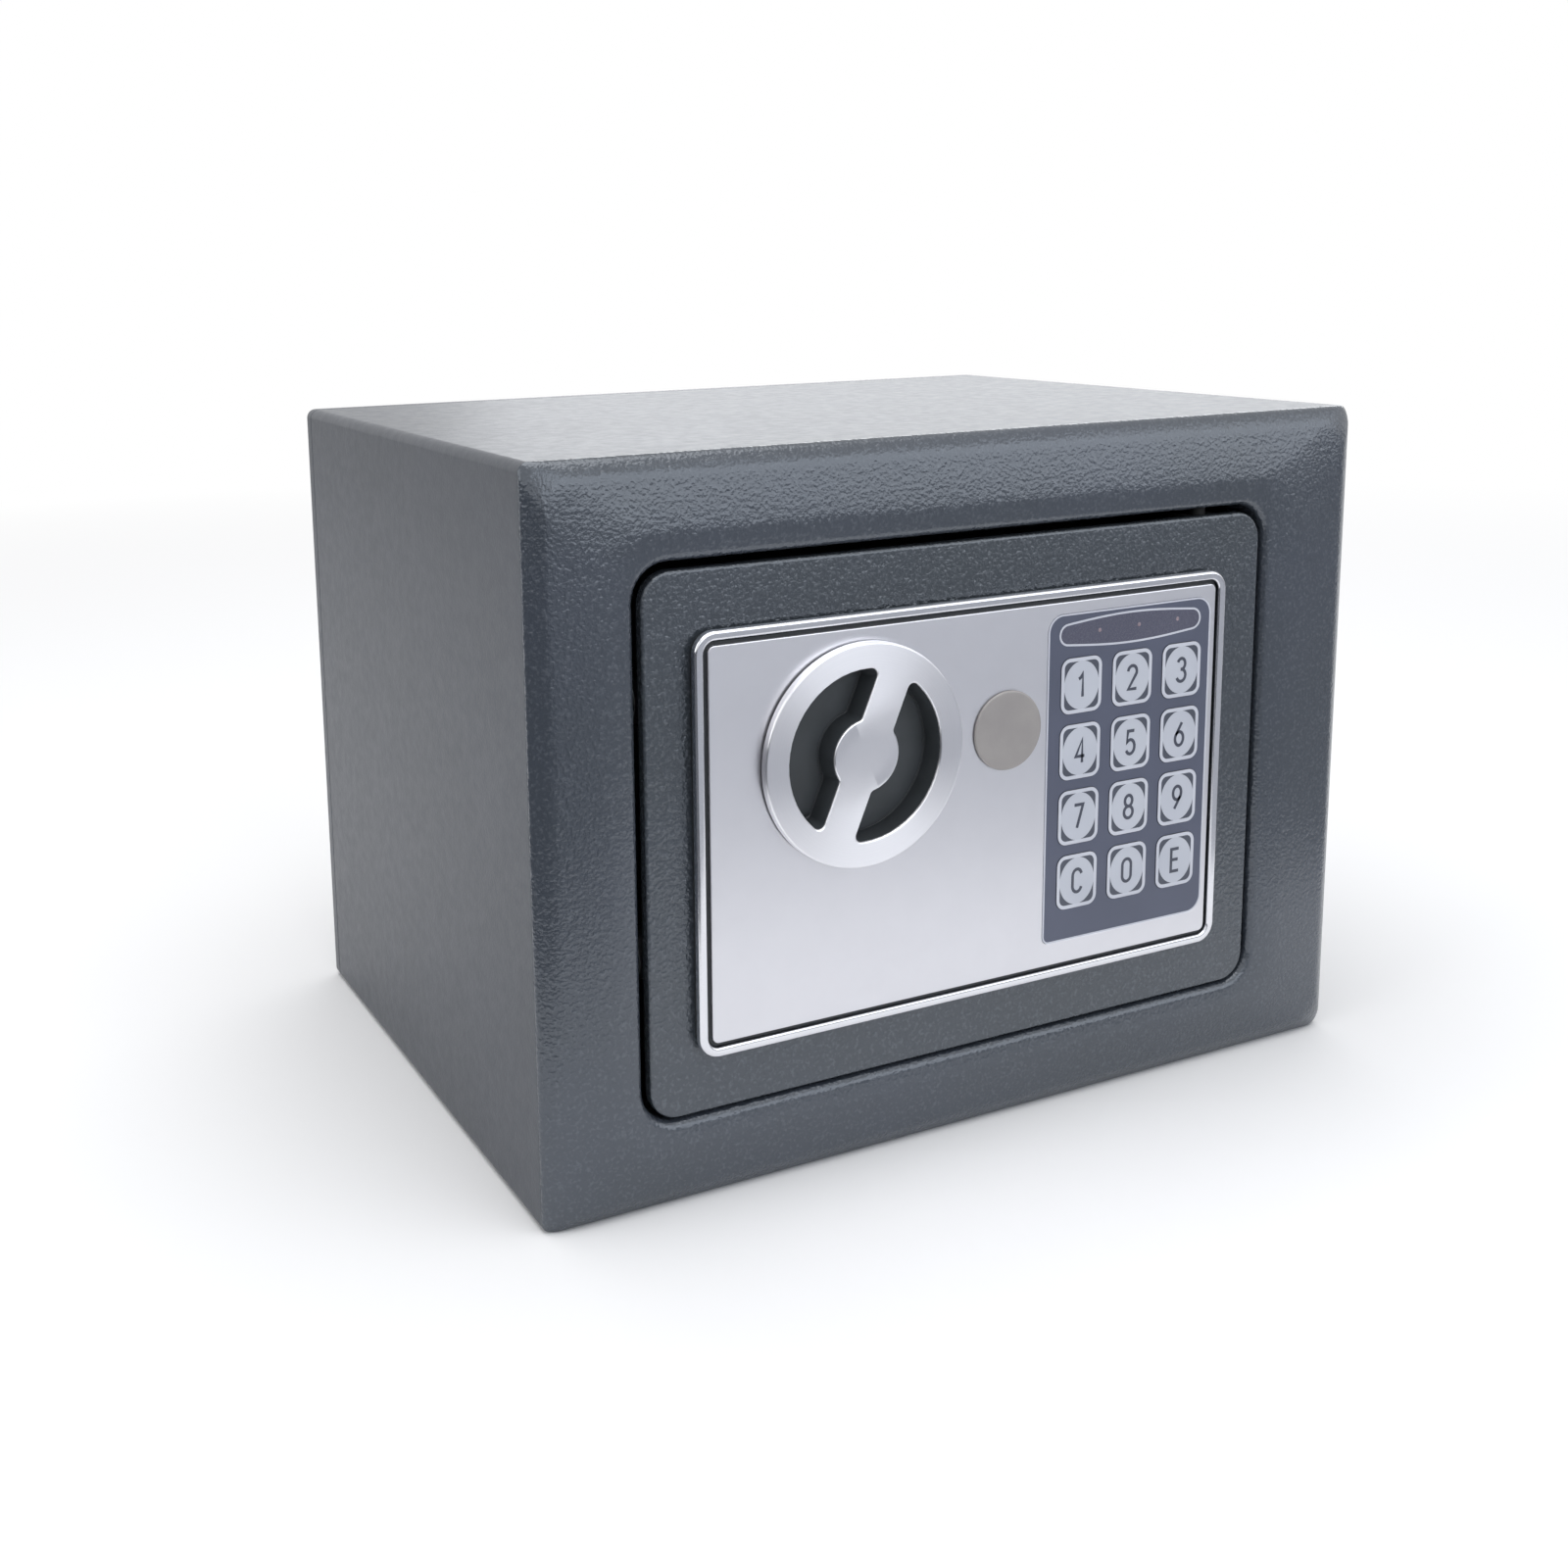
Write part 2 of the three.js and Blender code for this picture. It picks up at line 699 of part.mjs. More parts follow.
function panelBase() {
  const raised = bezelWidth + fitGap;
  const foot = roundedSlab(
    panelLeft + panelStepInset, panelRight - panelStepInset, panelFoot + panelStepInset,
    panelTop - panelStepInset, panelCornerRadius - panelStepInset, bezelRear, doorFront);
  const step = roundedSlab(
    panelLeft + raised, panelRight - raised, panelFoot + raised, panelTop - raised,
    panelCornerRadius - raised, plateRear, doorFront);
  const well = rodY(wellRadius + wellWall, plateRear, doorRear, knobX, knobZ, 48);
  const holes = [
    rodY(wellRadius, plateRear - 1, doorRear - wellFloor, knobX, knobZ, 48),
    rodY(shaftRadius + fitGap, plateRear - 1, doorRear + 1, knobX, knobZ),
    rodY(lockRadius + fitGap, plateRear - 1, doorRear + 1, lockX, knobZ),
    blockThrough(keyWindow(), plateRear - 1, doorRear),
    blockThrough(lightWindow(fitGap), plateRear - 1, doorRear),
  ];
  return cut(join(foot, step, well), ...holes);
}

function panelBezel() {
  const rim = roundedSlab(
    panelLeft, panelRight, panelFoot, panelTop, panelCornerRadius, bezelFront, bezelRear);
  const middle = roundedSlab(
    panelLeft + bezelWidth, panelRight - bezelWidth, panelFoot + bezelWidth, panelTop - bezelWidth,
    panelCornerRadius - bezelWidth, bezelFront - 1, bezelRear + 1);
  return cut(rim, middle);
}

function padOutline(grow) {
  const round = keypadCornerRadius + grow;
  return roundedOutline(
    padLeft - grow, padRight + grow, padFoot - grow, padTop + grow,
    [keypadFootRadius + grow, round, round, round]);
}

function facePlate() {
  const sheet = roundedSlab(
    plateLeft, plateRight, plateFoot, plateTop, facePlateCornerRadius, plateFront, plateRear);
  return cut(
    sheet,
    rodY(wellRadius, plateFront - 1, plateRear + 1, knobX, knobZ, 48),
    rodY(lockRadius + fitGap, plateFront - 1, plateRear + 1, lockX, knobZ),
    slab(padOutline(fitGap), plateFront - 1, plateRear + 1));
}

// Keypad
function keyPlaces() {
  const places = [];
  for (let row = 0; row < keyRows; row += 1) {
    for (let column = 0; column < keyColumns; column += 1) {
      places.push([keyFirstX + column * keyPitchX, keyFirstZ - row * keyPitchZ]);
    }
  }
  return places;
}

function keypadOverlay() {
  const width = keyWidth / 2 + fitGap;
  const height = keyHeight / 2 + fitGap;
  const holes = keyPlaces().map(([x, z]) => roundedSlab(
    x - width, x + width, z - height, z + height, keyCornerRadius + fitGap, plateFront - 1, plateRear + 1));
  return cut(slab(padOutline(0), plateFront - overlayProud, plateRear), ...holes);
}

// One key about its own centre
function key() {
  const halfWidth = keyWidth / 2;
  const halfHeight = keyHeight / 2;
  const flangeFront = plateRear + fitGap / 2;
  const cap = roundedSlab(
    -halfWidth, halfWidth, -halfHeight, halfHeight, keyCornerRadius, keyFront, flangeFront);
  const flange = block(
    -halfWidth - keyFlangeWidth, halfWidth + keyFlangeWidth, flangeFront, flangeFront + keyFlangeThickness,
    -halfHeight - keyFlangeWidth, halfHeight + keyFlangeWidth);
  const stem = rodY(keyStemRadius, flangeFront, doorFront - keyTravel - keyStemGap, 0, 0, 12);
  return join(cap, flange, stem);
}

function keypadBoard() {
  return blockThrough(boardEdges(0), doorFront, doorFront + boardThickness);
}

function ledStrip() {
  return blockThrough(lightWindow(0), plateRear + fitGap / 2, doorFront - fitGap / 2);
}

// Turn knob: a bright sheet over a dark cup with a pocket on each side of the grip bar
function pocketOutline(way, inset) {
  const outer = pocketRadius - inset;
  const inner = hubRadius + inset;
  const half = barWidth / 2 + inset;
  const round = pocketCornerRadius;
  const outline = new THREE.Shape();
  const turn = way > 0 ? 0 : Math.PI;
  const at = (along, across) => [
    knobX + along * Math.sin(barTilt + turn) + across * Math.cos(barTilt + turn),
    knobZ + along * Math.cos(barTilt + turn) - across * Math.sin(barTilt + turn),
  ];
  const arcSteps = 12;
  const cornerAcross = half + round;
  const outerCornerAlong = Math.sqrt((outer - round) ** 2 - cornerAcross ** 2);
  const outerStart = Math.atan2(cornerAcross, outerCornerAlong);
  const innerAlong = Math.sqrt(inner ** 2 - half ** 2);
  const innerStart = Math.atan2(half, innerAlong);
  const points = [];
  const corner = (centreAlong, from, to) => {
    for (let i = 0; i <= 4; i += 1) {
      const angle = from + (to - from) * i / 4;
      points.push(at(centreAlong + round * Math.cos(angle), cornerAcross + round * Math.sin(angle)));
    }
  };
  corner(outerCornerAlong, -Math.PI / 2, outerStart);
  for (let i = 1; i < arcSteps; i += 1) {
    const angle = outerStart + (Math.PI - 2 * outerStart) * i / arcSteps;
    points.push(at(outer * Math.cos(angle), outer * Math.sin(angle)));
  }
  corner(-outerCornerAlong, Math.PI - outerStart, 1.5 * Math.PI);
  for (let i = 0; i <= arcSteps; i += 1) {
    const angle = Math.PI - innerStart - (Math.PI - 2 * innerStart) * i / arcSteps;
    points.push(at(inner * Math.cos(angle), inner * Math.sin(angle)));
  }
  points.forEach(([x, z], i) => (i === 0 ? outline.moveTo(x, z) : outline.lineTo(x, z)));
  outline.closePath();
  return outline;
}

function pockets(inset, y0, y1) {
  return [-1, 1].map((way) => slab(pocketOutline(way, inset), y0, y1));
}

function knobFace() {
  const rear = plateFront - fitGap;
  const cap = turned([
    [0, knobFront],
    [knobRadius - knobBevel, knobFront],
    [knobRadius, knobFront + knobBevel],
    [knobRadius, rear],
    [knobRadius - knobSheet, rear],
    [knobRadius - knobSheet, knobFront + knobSheet],
    [0, knobFront + knobSheet],
  ], knobX, knobZ, 72);
  return cut(cap, ...pockets(0, knobFront - 1, knobFront + knobSheet + 1));
}

function knobCup() {
  const seat = knobFront + knobSheet;
  const flange = rodY(knobRadius - knobSheet - fitGap, seat, plateFront - fitGap, knobX, knobZ, 48);
  const cup = rodY(cupRadius, seat, cupFloorRear, knobX, knobZ, 48);
  return cut(join(flange, cup), ...pockets(0, seat - 1, cupFloorFront));
}

function knobShaft() {
  return rodY(shaftRadius, cupFloorRear, crankFront, knobX, knobZ);
}

function knobCrank() {
  const hub = rodY(crankHubRadius, crankFront, crankRear, knobX, knobZ);
  const pinX = crankPinX;
  const pinZ = crankPinLow;
  const end = rodY(crankEndRadius, crankFront, crankRear, pinX, pinZ);
  const web = new THREE.BoxGeometry(2 * crankEndRadius, crankThickness, crankRadius);
  web.rotateY(knobTurn / 2);
  web.translate((knobX + pinX) / 2, (crankFront + crankRear) / 2, (knobZ + pinZ) / 2);
  const pin = rodY(crankPinRadius, crankFront, carriageRear + wellGap, pinX, pinZ, 16);
  return join(hub, end, solid(web), pin);
}

// Bolt work
function boltCarriage() {
  const y0 = carriageFront;
  const y1 = carriageRear;
  const link = block(
    linkLeft, linkRight, y0, y1, boltHeights[1] - boltRadius, boltHeights[0] + boltRadius);
  const slotWidth = crankPinRadius + runningGap;
  const slotLow = crankPinLow - slotWidth - fitGap;
  const slotHigh = crankPinHigh + slotWidth + fitGap;
  const crankArm = block(
    linkRight - 1, crankPinX + slotWidth + armBorder, y0, y1, slotLow - armBorder, slotHigh + armBorder);
  const studArm = block(linkRight - 1, tabLeft + tabWidth, y0, y1, armFoot, armFoot + armHeight);
  const tab = block(tabLeft, tabLeft + tabWidth, y0, y1, tabFoot, armFoot + 1);
  const crankSlot = block(crankPinX - slotWidth, crankPinX + slotWidth, y0 - 1, y1 + 1, slotLow, slotHigh);
  const studReach = studRadius + runningGap;
  const studSlot = block(
    studX - studReach, studX + boltTravel + studReach, y0 - 1, y1 + 1, studZ - studReach, studZ + studReach);
  return cut(join(link, crankArm, studArm, tab), crankSlot, studSlot);
}

// One bolt with a bevelled nose and a flat where the carriage holds it
function bolt(height) {
  const nose = new THREE.LatheGeometry([
    new THREE.Vector2(0, boltTip),
    new THREE.Vector2(boltRadius - boltBevel, boltTip),
    new THREE.Vector2(boltRadius, boltTip + boltBevel),
    new THREE.Vector2(boltRadius, linkRight - 1),
    new THREE.Vector2(0, linkRight - 1),
  ], 28);
  nose.rotateZ(-Math.PI / 2);
  nose.translate(0, boltY, height);
  const flat = block(
    linkLeft - fitGap, linkRight, boltY - 2 * boltRadius, carriageRear + fitGap,
    height - 2 * boltRadius, height + 2 * boltRadius);
  return cut(solid(nose), flat);
}

function boltGuide() {
  const wall = block(
    guideLeft, guideRight, doorRear, doorRear + guideDepth,
    doorMiddle - guideReach, doorMiddle + guideReach);
  const footHeight = armHeight + 4;
  const foot = block(
    guideLeft, studX + 2 * studRadius, doorRear, doorRear + guideFootThickness,
    studZ - footHeight / 2, studZ + footHeight / 2);
  const stud = rodY(studRadius, doorRear, carriageRear + fitGap, studX, studZ, 20);
  const holes = boltHeights.map((height) => rodX(
    boltRadius + runningGap, guideLeft - 1, guideRight + 1, boltY, height));
  return cut(join(wall, foot, stud), ...holes);
}

// Solenoid
function solenoidFrame() {
  const half = solenoidWidth / 2;
  const outside = block(
    solenoidX - half, solenoidX + half, doorRear, doorRear + solenoidDepth, solenoidFoot, solenoidTop);
  const hollow = block(
    solenoidX - half - 1, solenoidX + half + 1, doorRear + solenoidSheet, doorRear + solenoidDepth + 1,
    solenoidFoot + solenoidSheet, solenoidTop - solenoidSheet);
  const hole = rodZ(plungerRadius + runningGap, solenoidTop - 3, solenoidTop + 1, solenoidX, solenoidY);
  return cut(outside, hollow, hole);
}

function solenoidCoil() {
  const foot = solenoidFoot + solenoidSheet + fitGap / 2;
  const top = solenoidTop - solenoidSheet - fitGap / 2;
  const winding = rodZ(coilRadius, foot, top, solenoidX, solenoidY, 32);
  const bore = rodZ(plungerRadius + runningGap, foot + holderWall, top + 1, solenoidX, solenoidY);
  return cut(winding, bore);
}

function solenoidPlunger() {
  const foot = solenoidFoot + solenoidSheet + 2 * holderWall;
  const rod = rodZ(plungerRadius, foot, plungerTop, solenoidX, solenoidY, 20);
  const armRear = camRear + 1;
  const arm = block(
    solenoidX, lockX + releaseArmWidth / 2, solenoidY - releaseArmThickness / 2, armRear,
    releaseFoot, releaseTop);
  const finger = block(
    lockX - releaseArmWidth / 2, lockX + releaseArmWidth / 2, armRear - releaseFingerDepth, armRear,
    releaseFoot, knobZ - camReach - fitGap);
  return join(rod, arm, finger);
}

function plungerSpring() {
  const radius = plungerRadius + runningGap + springWire / 2 + springSlack;
  const foot = solenoidTop + springWire / 2 + springEndGap;
  const top = releaseFoot - springWire / 2 - springEndGap;
  const steps = springTurns * 8;
  const points = [];
  for (let i = 0; i <= steps; i += 1) {
    const angle = 2 * Math.PI * springTurns * i / steps;
    points.push(new THREE.Vector3(
      solenoidX + radius * Math.cos(angle), solenoidY + radius * Math.sin(angle),
      foot + (top - foot) * i / steps));
  }
  const wire = new THREE.Shape();
  wire.absarc(0, 0, springWire / 2, 0, 2 * Math.PI);
  const path = new THREE.CatmullRomCurve3(points);
  return solid(new THREE.ExtrudeGeometry(wire, {
    steps, extrudePath: path, bevelEnabled: false, curveSegments: 3,
  }));
}

// Emergency lock
function lockBody() {
  const barrel = rodY(lockRadius, lockFront, lockRear, lockX, knobZ, 32);
  return cut(
    barrel,
    rodY(lockMouthRadius, lockFront - 1, lockFront + lockMouthDepth, lockX, knobZ),
    rodY(plugRadius + fitGap, lockFront, lockRear + 1, lockX, knobZ));
}

function lockPlug() {
  const head = lockFront + lockMouthDepth + fitGap;
  const barrel = rodY(plugRadius, head, lockRear, lockX, knobZ);
  const tail = rodY(plugTailRadius, lockRear - 1, camRear + wellGap, lockX, knobZ, 16);
  const keyway = block(
    lockX - keywayWidth / 2, lockX + keywayWidth / 2, head - 1, head + keywayDepth,
    knobZ - keywayHeight / 2, knobZ + keywayHeight / 2);
  return cut(join(barrel, tail), keyway);
}

function lockCam() {
  const half = camWidth / 2;
  const arm = block(
    lockX, lockX + camReach - half, camFront, camRear, knobZ - half, knobZ + half);
  const tip = rodY(half, camFront, camRear, lockX + camReach - half, knobZ, 16);
  const hub = rodY(half + 2, camFront, camRear, lockX, knobZ);
  const bore = rodY(plugTailRadius + fitGap, camFront - 1, camRear + 1, lockX, knobZ, 16);
  return cut(join(arm, tip, hub), bore);
}

function keyCap() {
  const disc = rodY(capRadius, plateFront - capProud, plateFront, lockX, knobZ, 48);
  const spigot = rodY(capSpigotRadius, plateFront - capProud / 2, lockFront + capSpigotLength, lockX, knobZ);
  return join(disc, spigot);
}

// Inner cover and what it holds
function holderWindow(grow) {
  return [holderLeft - grow, holderRight + grow, holderFoot - grow, holderTop + grow];
}

function controlCorners() {
  const inset = controlBossRadius + 1.5;
  return [
    [controlLeft + inset, controlFoot + inset],
    [controlRight - inset, controlFoot + inset],
    [controlLeft + inset, controlTop - inset],
  ];
}

function innerCover() {
  const shell = roundedSlab(
    coverLeft, coverRight, coverFoot, coverTop, coverCornerRadius, doorRear, coverRear);
  const hollow = roundedSlab(
    coverLeft + coverWall, coverRight - coverWall, coverFoot + coverWall, coverTop - coverWall,
    coverCornerRadius - coverWall, doorRear - 1, coverInside);
  const lid = blockThrough(holderWindow(-lidLedge), coverInside - 1, coverRear + 1);
  const boltHoles = boltHeights.map((height) => rodX(
    boltRadius + runningGap, coverLeft - 1, coverLeft + coverWall + 1, boltY, height));
  const screwHoles = coverPostPlaces().map(([x, z]) => rodY(
    coverScrewRadius + fitGap, coverInside - 1, coverRear + 1, x, z, 12));
  const resetHole = rodY(resetRadius + fitGap, coverInside - 1, coverRear + 1, resetX, resetZ, 20);
  const bosses = controlCorners().map(([x, z]) => rodY(
    controlBossRadius, controlRear, coverRear - coverWall / 2, x, z, 12));
  return cut(join(cut(shell, hollow), ...bosses), lid, ...boltHoles, ...screwHoles, resetHole);
}

function batteryCover() {
  const lid = blockThrough(holderWindow(-lidLedge - fitGap), holderRear, coverRear);
  const x = (holderLeft + holderRight) / 2;
  const gripTop = holderTop - lidGripBelowTop;
  const grip = blockThrough(
    [x - lidGripWidth / 2, x + lidGripWidth / 2, gripTop - lidGripHeight, gripTop],
    coverRear - lidGripProud, coverRear + lidGripProud);
  return join(lid, grip);
}

function batteryHolder() {
  const tub = blockThrough(holderWindow(0), holderFront, holderRear);
  const hollow = blockThrough(holderWindow(-holderWall), holderFront + holderWall, holderRear + 1);
  return cut(tub, hollow);
}

function batteryHeight(i) {
  return holderFoot + holderWall + (i + 0.5) * batteryPitch;
}

function battery(i) {
  const way = i % 2 ? -1 : 1;
  const middle = (holderLeft + holderRight) / 2;
  const half = batteryLength / 2;
  const profile = [
    [0, -half],
    [batteryRadius - 1, -half],
    [batteryRadius, -half + 1],
    [batteryRadius, half - 2],
    [batteryRadius - 1, half - 1.2],
    [2.6, half - 1.2],
    [2.6, half],
    [0, half],
  ].map(([radius, along]) => new THREE.Vector2(radius, along));
  const cell = new THREE.LatheGeometry(profile, 20);
  cell.rotateZ(-way * Math.PI / 2);
  cell.translate(middle, holderFront + holderWall + fitGap + batteryRadius, batteryHeight(i));
  return solid(cell);
}

function coverScrew([x, z]) {
  const top = coverRear + screwHeadHeight;
  const floor = top - screwSlotDepth;
  const head = rodY(coverScrewHeadRadius, coverRear, top, x, z, 20);
  const shank = rodY(
    coverScrewRadius, coverInside - coverScrewLength + 1, coverRear + 0.5, x, z, 12);
  const slots = [
    block(x - screwSlotReach, x + screwSlotReach, floor, top + 1, z - screwSlotHalf, z + screwSlotHalf),
    block(x - screwSlotHalf, x + screwSlotHalf, floor, top + 1, z - screwSlotReach, z + screwSlotReach),
  ];
  return cut(join(head, shank), ...slots);
}

// The circuit board with its chips and the switch under the reset button
function controlBoard() {
  const board = block(controlLeft, controlRight, controlFront, controlRear, controlFoot, controlTop);
  const chipX = (controlLeft + controlRight) / 2;
  const chipZ = (controlFoot + controlTop) / 2;
  const onBoard = (x, z, width, height, rise) => block(
    x - width / 2, x + width / 2, controlRear - chipSunk, controlRear + rise, z - height / 2, z + height / 2);
  const chips = controlChips.map(([x, z, ...size]) => onBoard(chipX + x, chipZ + z, ...size));
  chips.push(onBoard(resetX, resetZ, switchSize, switchSize, switchRise));
  return join(board, ...chips);
}

function resetButton() {
  const foot = controlRear + switchRise + resetTravel + fitGap;
  return rodY(resetRadius, foot, coverRear + resetProud, resetX, resetZ, 20);
}

// A flat cable from the keypad board back to the control board, sagging between them
function keypadCable() {
  const start = doorFront + boardThickness + fitGap;
  const end = controlFront - fitGap;
  const z = controlTop - cableBelowTop;
  const path = new THREE.CatmullRomCurve3([
    new THREE.Vector3(start, z, 0),
    new THREE.Vector3(start + cableStraight, z, 0),
    new THREE.Vector3((start + end) / 2, z - cableSag, 0),
    new THREE.Vector3(end - cableStraight, z, 0),
    new THREE.Vector3(end, z, 0),
  ]);
  const steps = 24;
  const edge = (way) => Array.from({ length: steps + 1 }, (_, i) => {
    const point = path.getPoint(i / steps);
    const along = path.getTangent(i / steps);
    return new THREE.Vector2(
      point.x - way * along.y * cableThickness / 2, point.y + way * along.x * cableThickness / 2);
  });
  const outline = new THREE.Shape([...edge(1), ...edge(-1).reverse()]);
  const geometry = new THREE.ExtrudeGeometry(outline, { depth: cableWidth, bevelEnabled: false });
  geometry.applyMatrix4(new THREE.Matrix4().makeBasis(
    new THREE.Vector3(0, 1, 0), new THREE.Vector3(0, 0, 1), new THREE.Vector3(1, 0, 0)));
  geometry.translate(cableX - cableWidth / 2, 0, 0);
  return solid(geometry);
}

// Assembly
const safe = new THREE.Group();

function add(name, shape, material) {
  const mesh = new THREE.Mesh(geometryOf(shape), material);
  mesh.name = name;
  safe.add(mesh);
  return mesh;
}

add('body_wrap', bodyWrap(), greyPaint);
add('back_panel', backPanel(), greyPaint);
add('front_frame', frontFrame(), greyPaint);
add('anchor_plug_left', anchorPlug(-1), blackRubber);
add('anchor_plug_right', anchorPlug(1), blackRubber);
add('floor_mat', floorMat(), matFabric);

add('door_plate', doorPlate(), doorPaint);
add('hinge_knuckle_upper', hingeKnuckle(1), zincSteel);
add('hinge_knuckle_lower', hingeKnuckle(-1), zincSteel);
add('hinge_pin_upper', hingePin(1), zincSteel);
add('hinge_pin_lower', hingePin(-1), zincSteel);
add('panel_base', panelBase(), darkPlastic);
add('panel_bezel', panelBezel(), brightTrim);
add('face_plate', facePlate(), satinPlate);

add('keypad_overlay', keypadOverlay(), slatePad);
add('keypad_board', keypadBoard(), circuitGreen);
add('led_strip', ledStrip(), lightSmoke);
const keyNames = ['1', '2', '3', '4', '5', '6', '7', '8', '9', 'c', '0', 'e'];
const keyShape = key();
keyPlaces().forEach(([x, z], i) => {
  add(`key_${keyNames[i]}`, keyShape, keyFace).position.set(x, 0, z);
});

add('knob_face', knobFace(), satinKnob);
add('knob_cup', knobCup(), darkPlastic);
add('knob_shaft', knobShaft(), zincSteel);
add('knob_crank', knobCrank(), zincSteel);

add('bolt_carriage', boltCarriage(), zincSteel);
add('bolt_upper', bolt(boltHeights[0]), zincSteel);
add('bolt_lower', bolt(boltHeights[1]), zincSteel);
add('bolt_guide', boltGuide(), zincSteel);

add('solenoid_frame', solenoidFrame(), zincSteel);
add('solenoid_coil', solenoidCoil(), copperWinding);
add('solenoid_plunger', solenoidPlunger(), springSteel);
add('plunger_spring', plungerSpring(), springSteel);

add('lock_body', lockBody(), brassFinish);
add('lock_plug', lockPlug(), brassFinish);
add('lock_cam', lockCam(), zincSteel);
add('key_cap', keyCap(), capMetal);

add('inner_cover', innerCover(), darkPlastic);
add('battery_holder', batteryHolder(), darkPlastic);
add('battery_cover', batteryCover(), darkPlastic);
for (let i = 0; i < batteryCount; i += 1) {
  add(`battery_${i + 1}`, battery(i), batterySleeve);
}
coverPostPlaces().forEach((place, i) => add(`cover_screw_${i + 1}`, coverScrew(place), zincSteel));
add('control_board', controlBoard(), circuitGreen);
add('keypad_cable', keypadCable(), cableGrey);
add('reset_button', resetButton(), redPlastic);

export default safe;
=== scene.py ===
import math

import bmesh
import bpy
from mathutils import Matrix, Vector
from mathutils.geometry import tessellate_polygon


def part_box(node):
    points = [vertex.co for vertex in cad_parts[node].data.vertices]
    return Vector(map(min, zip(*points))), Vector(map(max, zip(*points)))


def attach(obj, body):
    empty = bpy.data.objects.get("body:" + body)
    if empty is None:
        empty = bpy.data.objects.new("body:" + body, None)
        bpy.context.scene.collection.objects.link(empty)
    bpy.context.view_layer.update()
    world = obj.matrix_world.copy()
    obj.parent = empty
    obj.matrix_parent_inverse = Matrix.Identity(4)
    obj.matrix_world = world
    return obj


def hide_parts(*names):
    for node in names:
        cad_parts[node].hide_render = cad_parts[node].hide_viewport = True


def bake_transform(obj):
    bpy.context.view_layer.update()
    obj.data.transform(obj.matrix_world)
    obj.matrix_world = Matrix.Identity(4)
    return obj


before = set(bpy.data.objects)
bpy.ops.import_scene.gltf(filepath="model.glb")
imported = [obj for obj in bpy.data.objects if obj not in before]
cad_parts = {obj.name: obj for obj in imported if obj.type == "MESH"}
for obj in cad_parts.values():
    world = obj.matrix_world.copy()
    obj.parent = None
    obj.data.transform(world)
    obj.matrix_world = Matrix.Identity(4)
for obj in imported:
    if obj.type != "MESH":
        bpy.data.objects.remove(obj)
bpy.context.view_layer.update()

mm = 0.001
scene = bpy.context.scene
print("frame loaded:", len(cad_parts), "nodes")


def cad(node):
    low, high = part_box(node)
    return [value / mm for value in (low.x, high.x, low.y, high.y, low.z, high.z)]


def middle(box):
    return (box[0] + box[1]) / 2, (box[4] + box[5]) / 2


def addObject(name, data):
    made = bpy.data.objects.new(name, data)
    scene.collection.objects.link(made)
    return made


# Camera, at the photograph's viewing angle
cameraSet = {
    "place": (-243.3, -409.9, 209.0),  # mm
    "yaw": 26.08,
    "pitch": 10.18,
    "roll": -1.01,
    "focal": 1788.1,  # pixels of a 1600 wide picture
    "axis": (680, 590),  # where the lens axis meets the picture
    "picture": 1600,
    "sensor": 36,
}


def addCamera():
    s = cameraSet
    yaw, pitch, roll = (math.radians(s[k]) for k in ("yaw", "pitch", "roll"))
    ahead = Vector((math.sin(yaw) * math.cos(pitch), math.cos(yaw) * math.cos(pitch), -math.sin(pitch)))
    right = Vector((math.cos(yaw), -math.sin(yaw), 0))
    up = right.cross(ahead)
    tiltedRight = right * math.cos(roll) + up * math.sin(roll)
    tiltedUp = up * math.cos(roll) - right * math.sin(roll)
    lens = bpy.data.cameras.new("photoCamera")
    camera = addObject("photoCamera", lens)
    turn = Matrix((tiltedRight, tiltedUp, -ahead)).transposed().to_4x4()
    camera.matrix_world = Matrix.Translation(Vector(s["place"]) * mm) @ turn
    lens.sensor_width = s["sensor"]
    lens.lens = s["focal"] * s["sensor"] / s["picture"]
    lens.shift_x = 0.5 - s["axis"][0] / s["picture"]
    lens.shift_y = s["axis"][1] / s["picture"] - 0.5
    lens.clip_start = 0.01
    lens.clip_end = 50
    scene.camera = camera


addCamera()
print("camera placed")


# Materials
def tone(red, green, blue):
    # a screen colour, 0 to 255, as Blender's linear one
    def straight(value):
        value /= 255
        return value / 12.92 if value <= 0.04045 else ((value + 0.055) / 1.055) ** 2.4
    return (straight(red), straight(green), straight(blue), 1)


def put(tree, kind, inputs=None, **settings):
    made = tree.nodes.new(kind)
    for key, value in settings.items():
        setattr(made, key, value)
    for key, value in (inputs or {}).items():
        if isinstance(value, bpy.types.NodeSocket):
            tree.links.new(value, made.inputs[key])
        else:
            made.inputs[key].default_value = value
    return made


def calc(tree, operation, first, second=0.0):
    return put(tree, "ShaderNodeMath", {0: first, 1: second}, operation=operation).outputs[0]


def blankMaterial(name):
    material = bpy.data.materials.new(name)
    material.use_nodes = True
    tree = material.node_tree
    tree.nodes.clear()
    return material, tree


def grainNoise(tree, where, size, detail=2, roughness=0.5):
    return put(tree, "ShaderNodeTexNoise", {
        "Vector": where, "Scale": 1 / (size * mm), "Detail": detail, "Roughness": roughness,
    }).outputs["Fac"]


def spread(tree, value, low, high, start=0.3, end=0.7):
    return put(tree, "ShaderNodeMapRange", {
        "Value": value, "From Min": start, "From Max": end, "To Min": low, "To Max": high,
    }).outputs["Result"]


def mixTones(tree, factor, first, second):
    return put(tree, "ShaderNodeMix", {0: factor, 6: first, 7: second}, data_type="RGBA").outputs[2]


def cloudedTone(tree, noise, first, second, *fade):
    return mixTones(tree, spread(tree, noise, 0, 1, *fade), tone(*first), tone(*second))


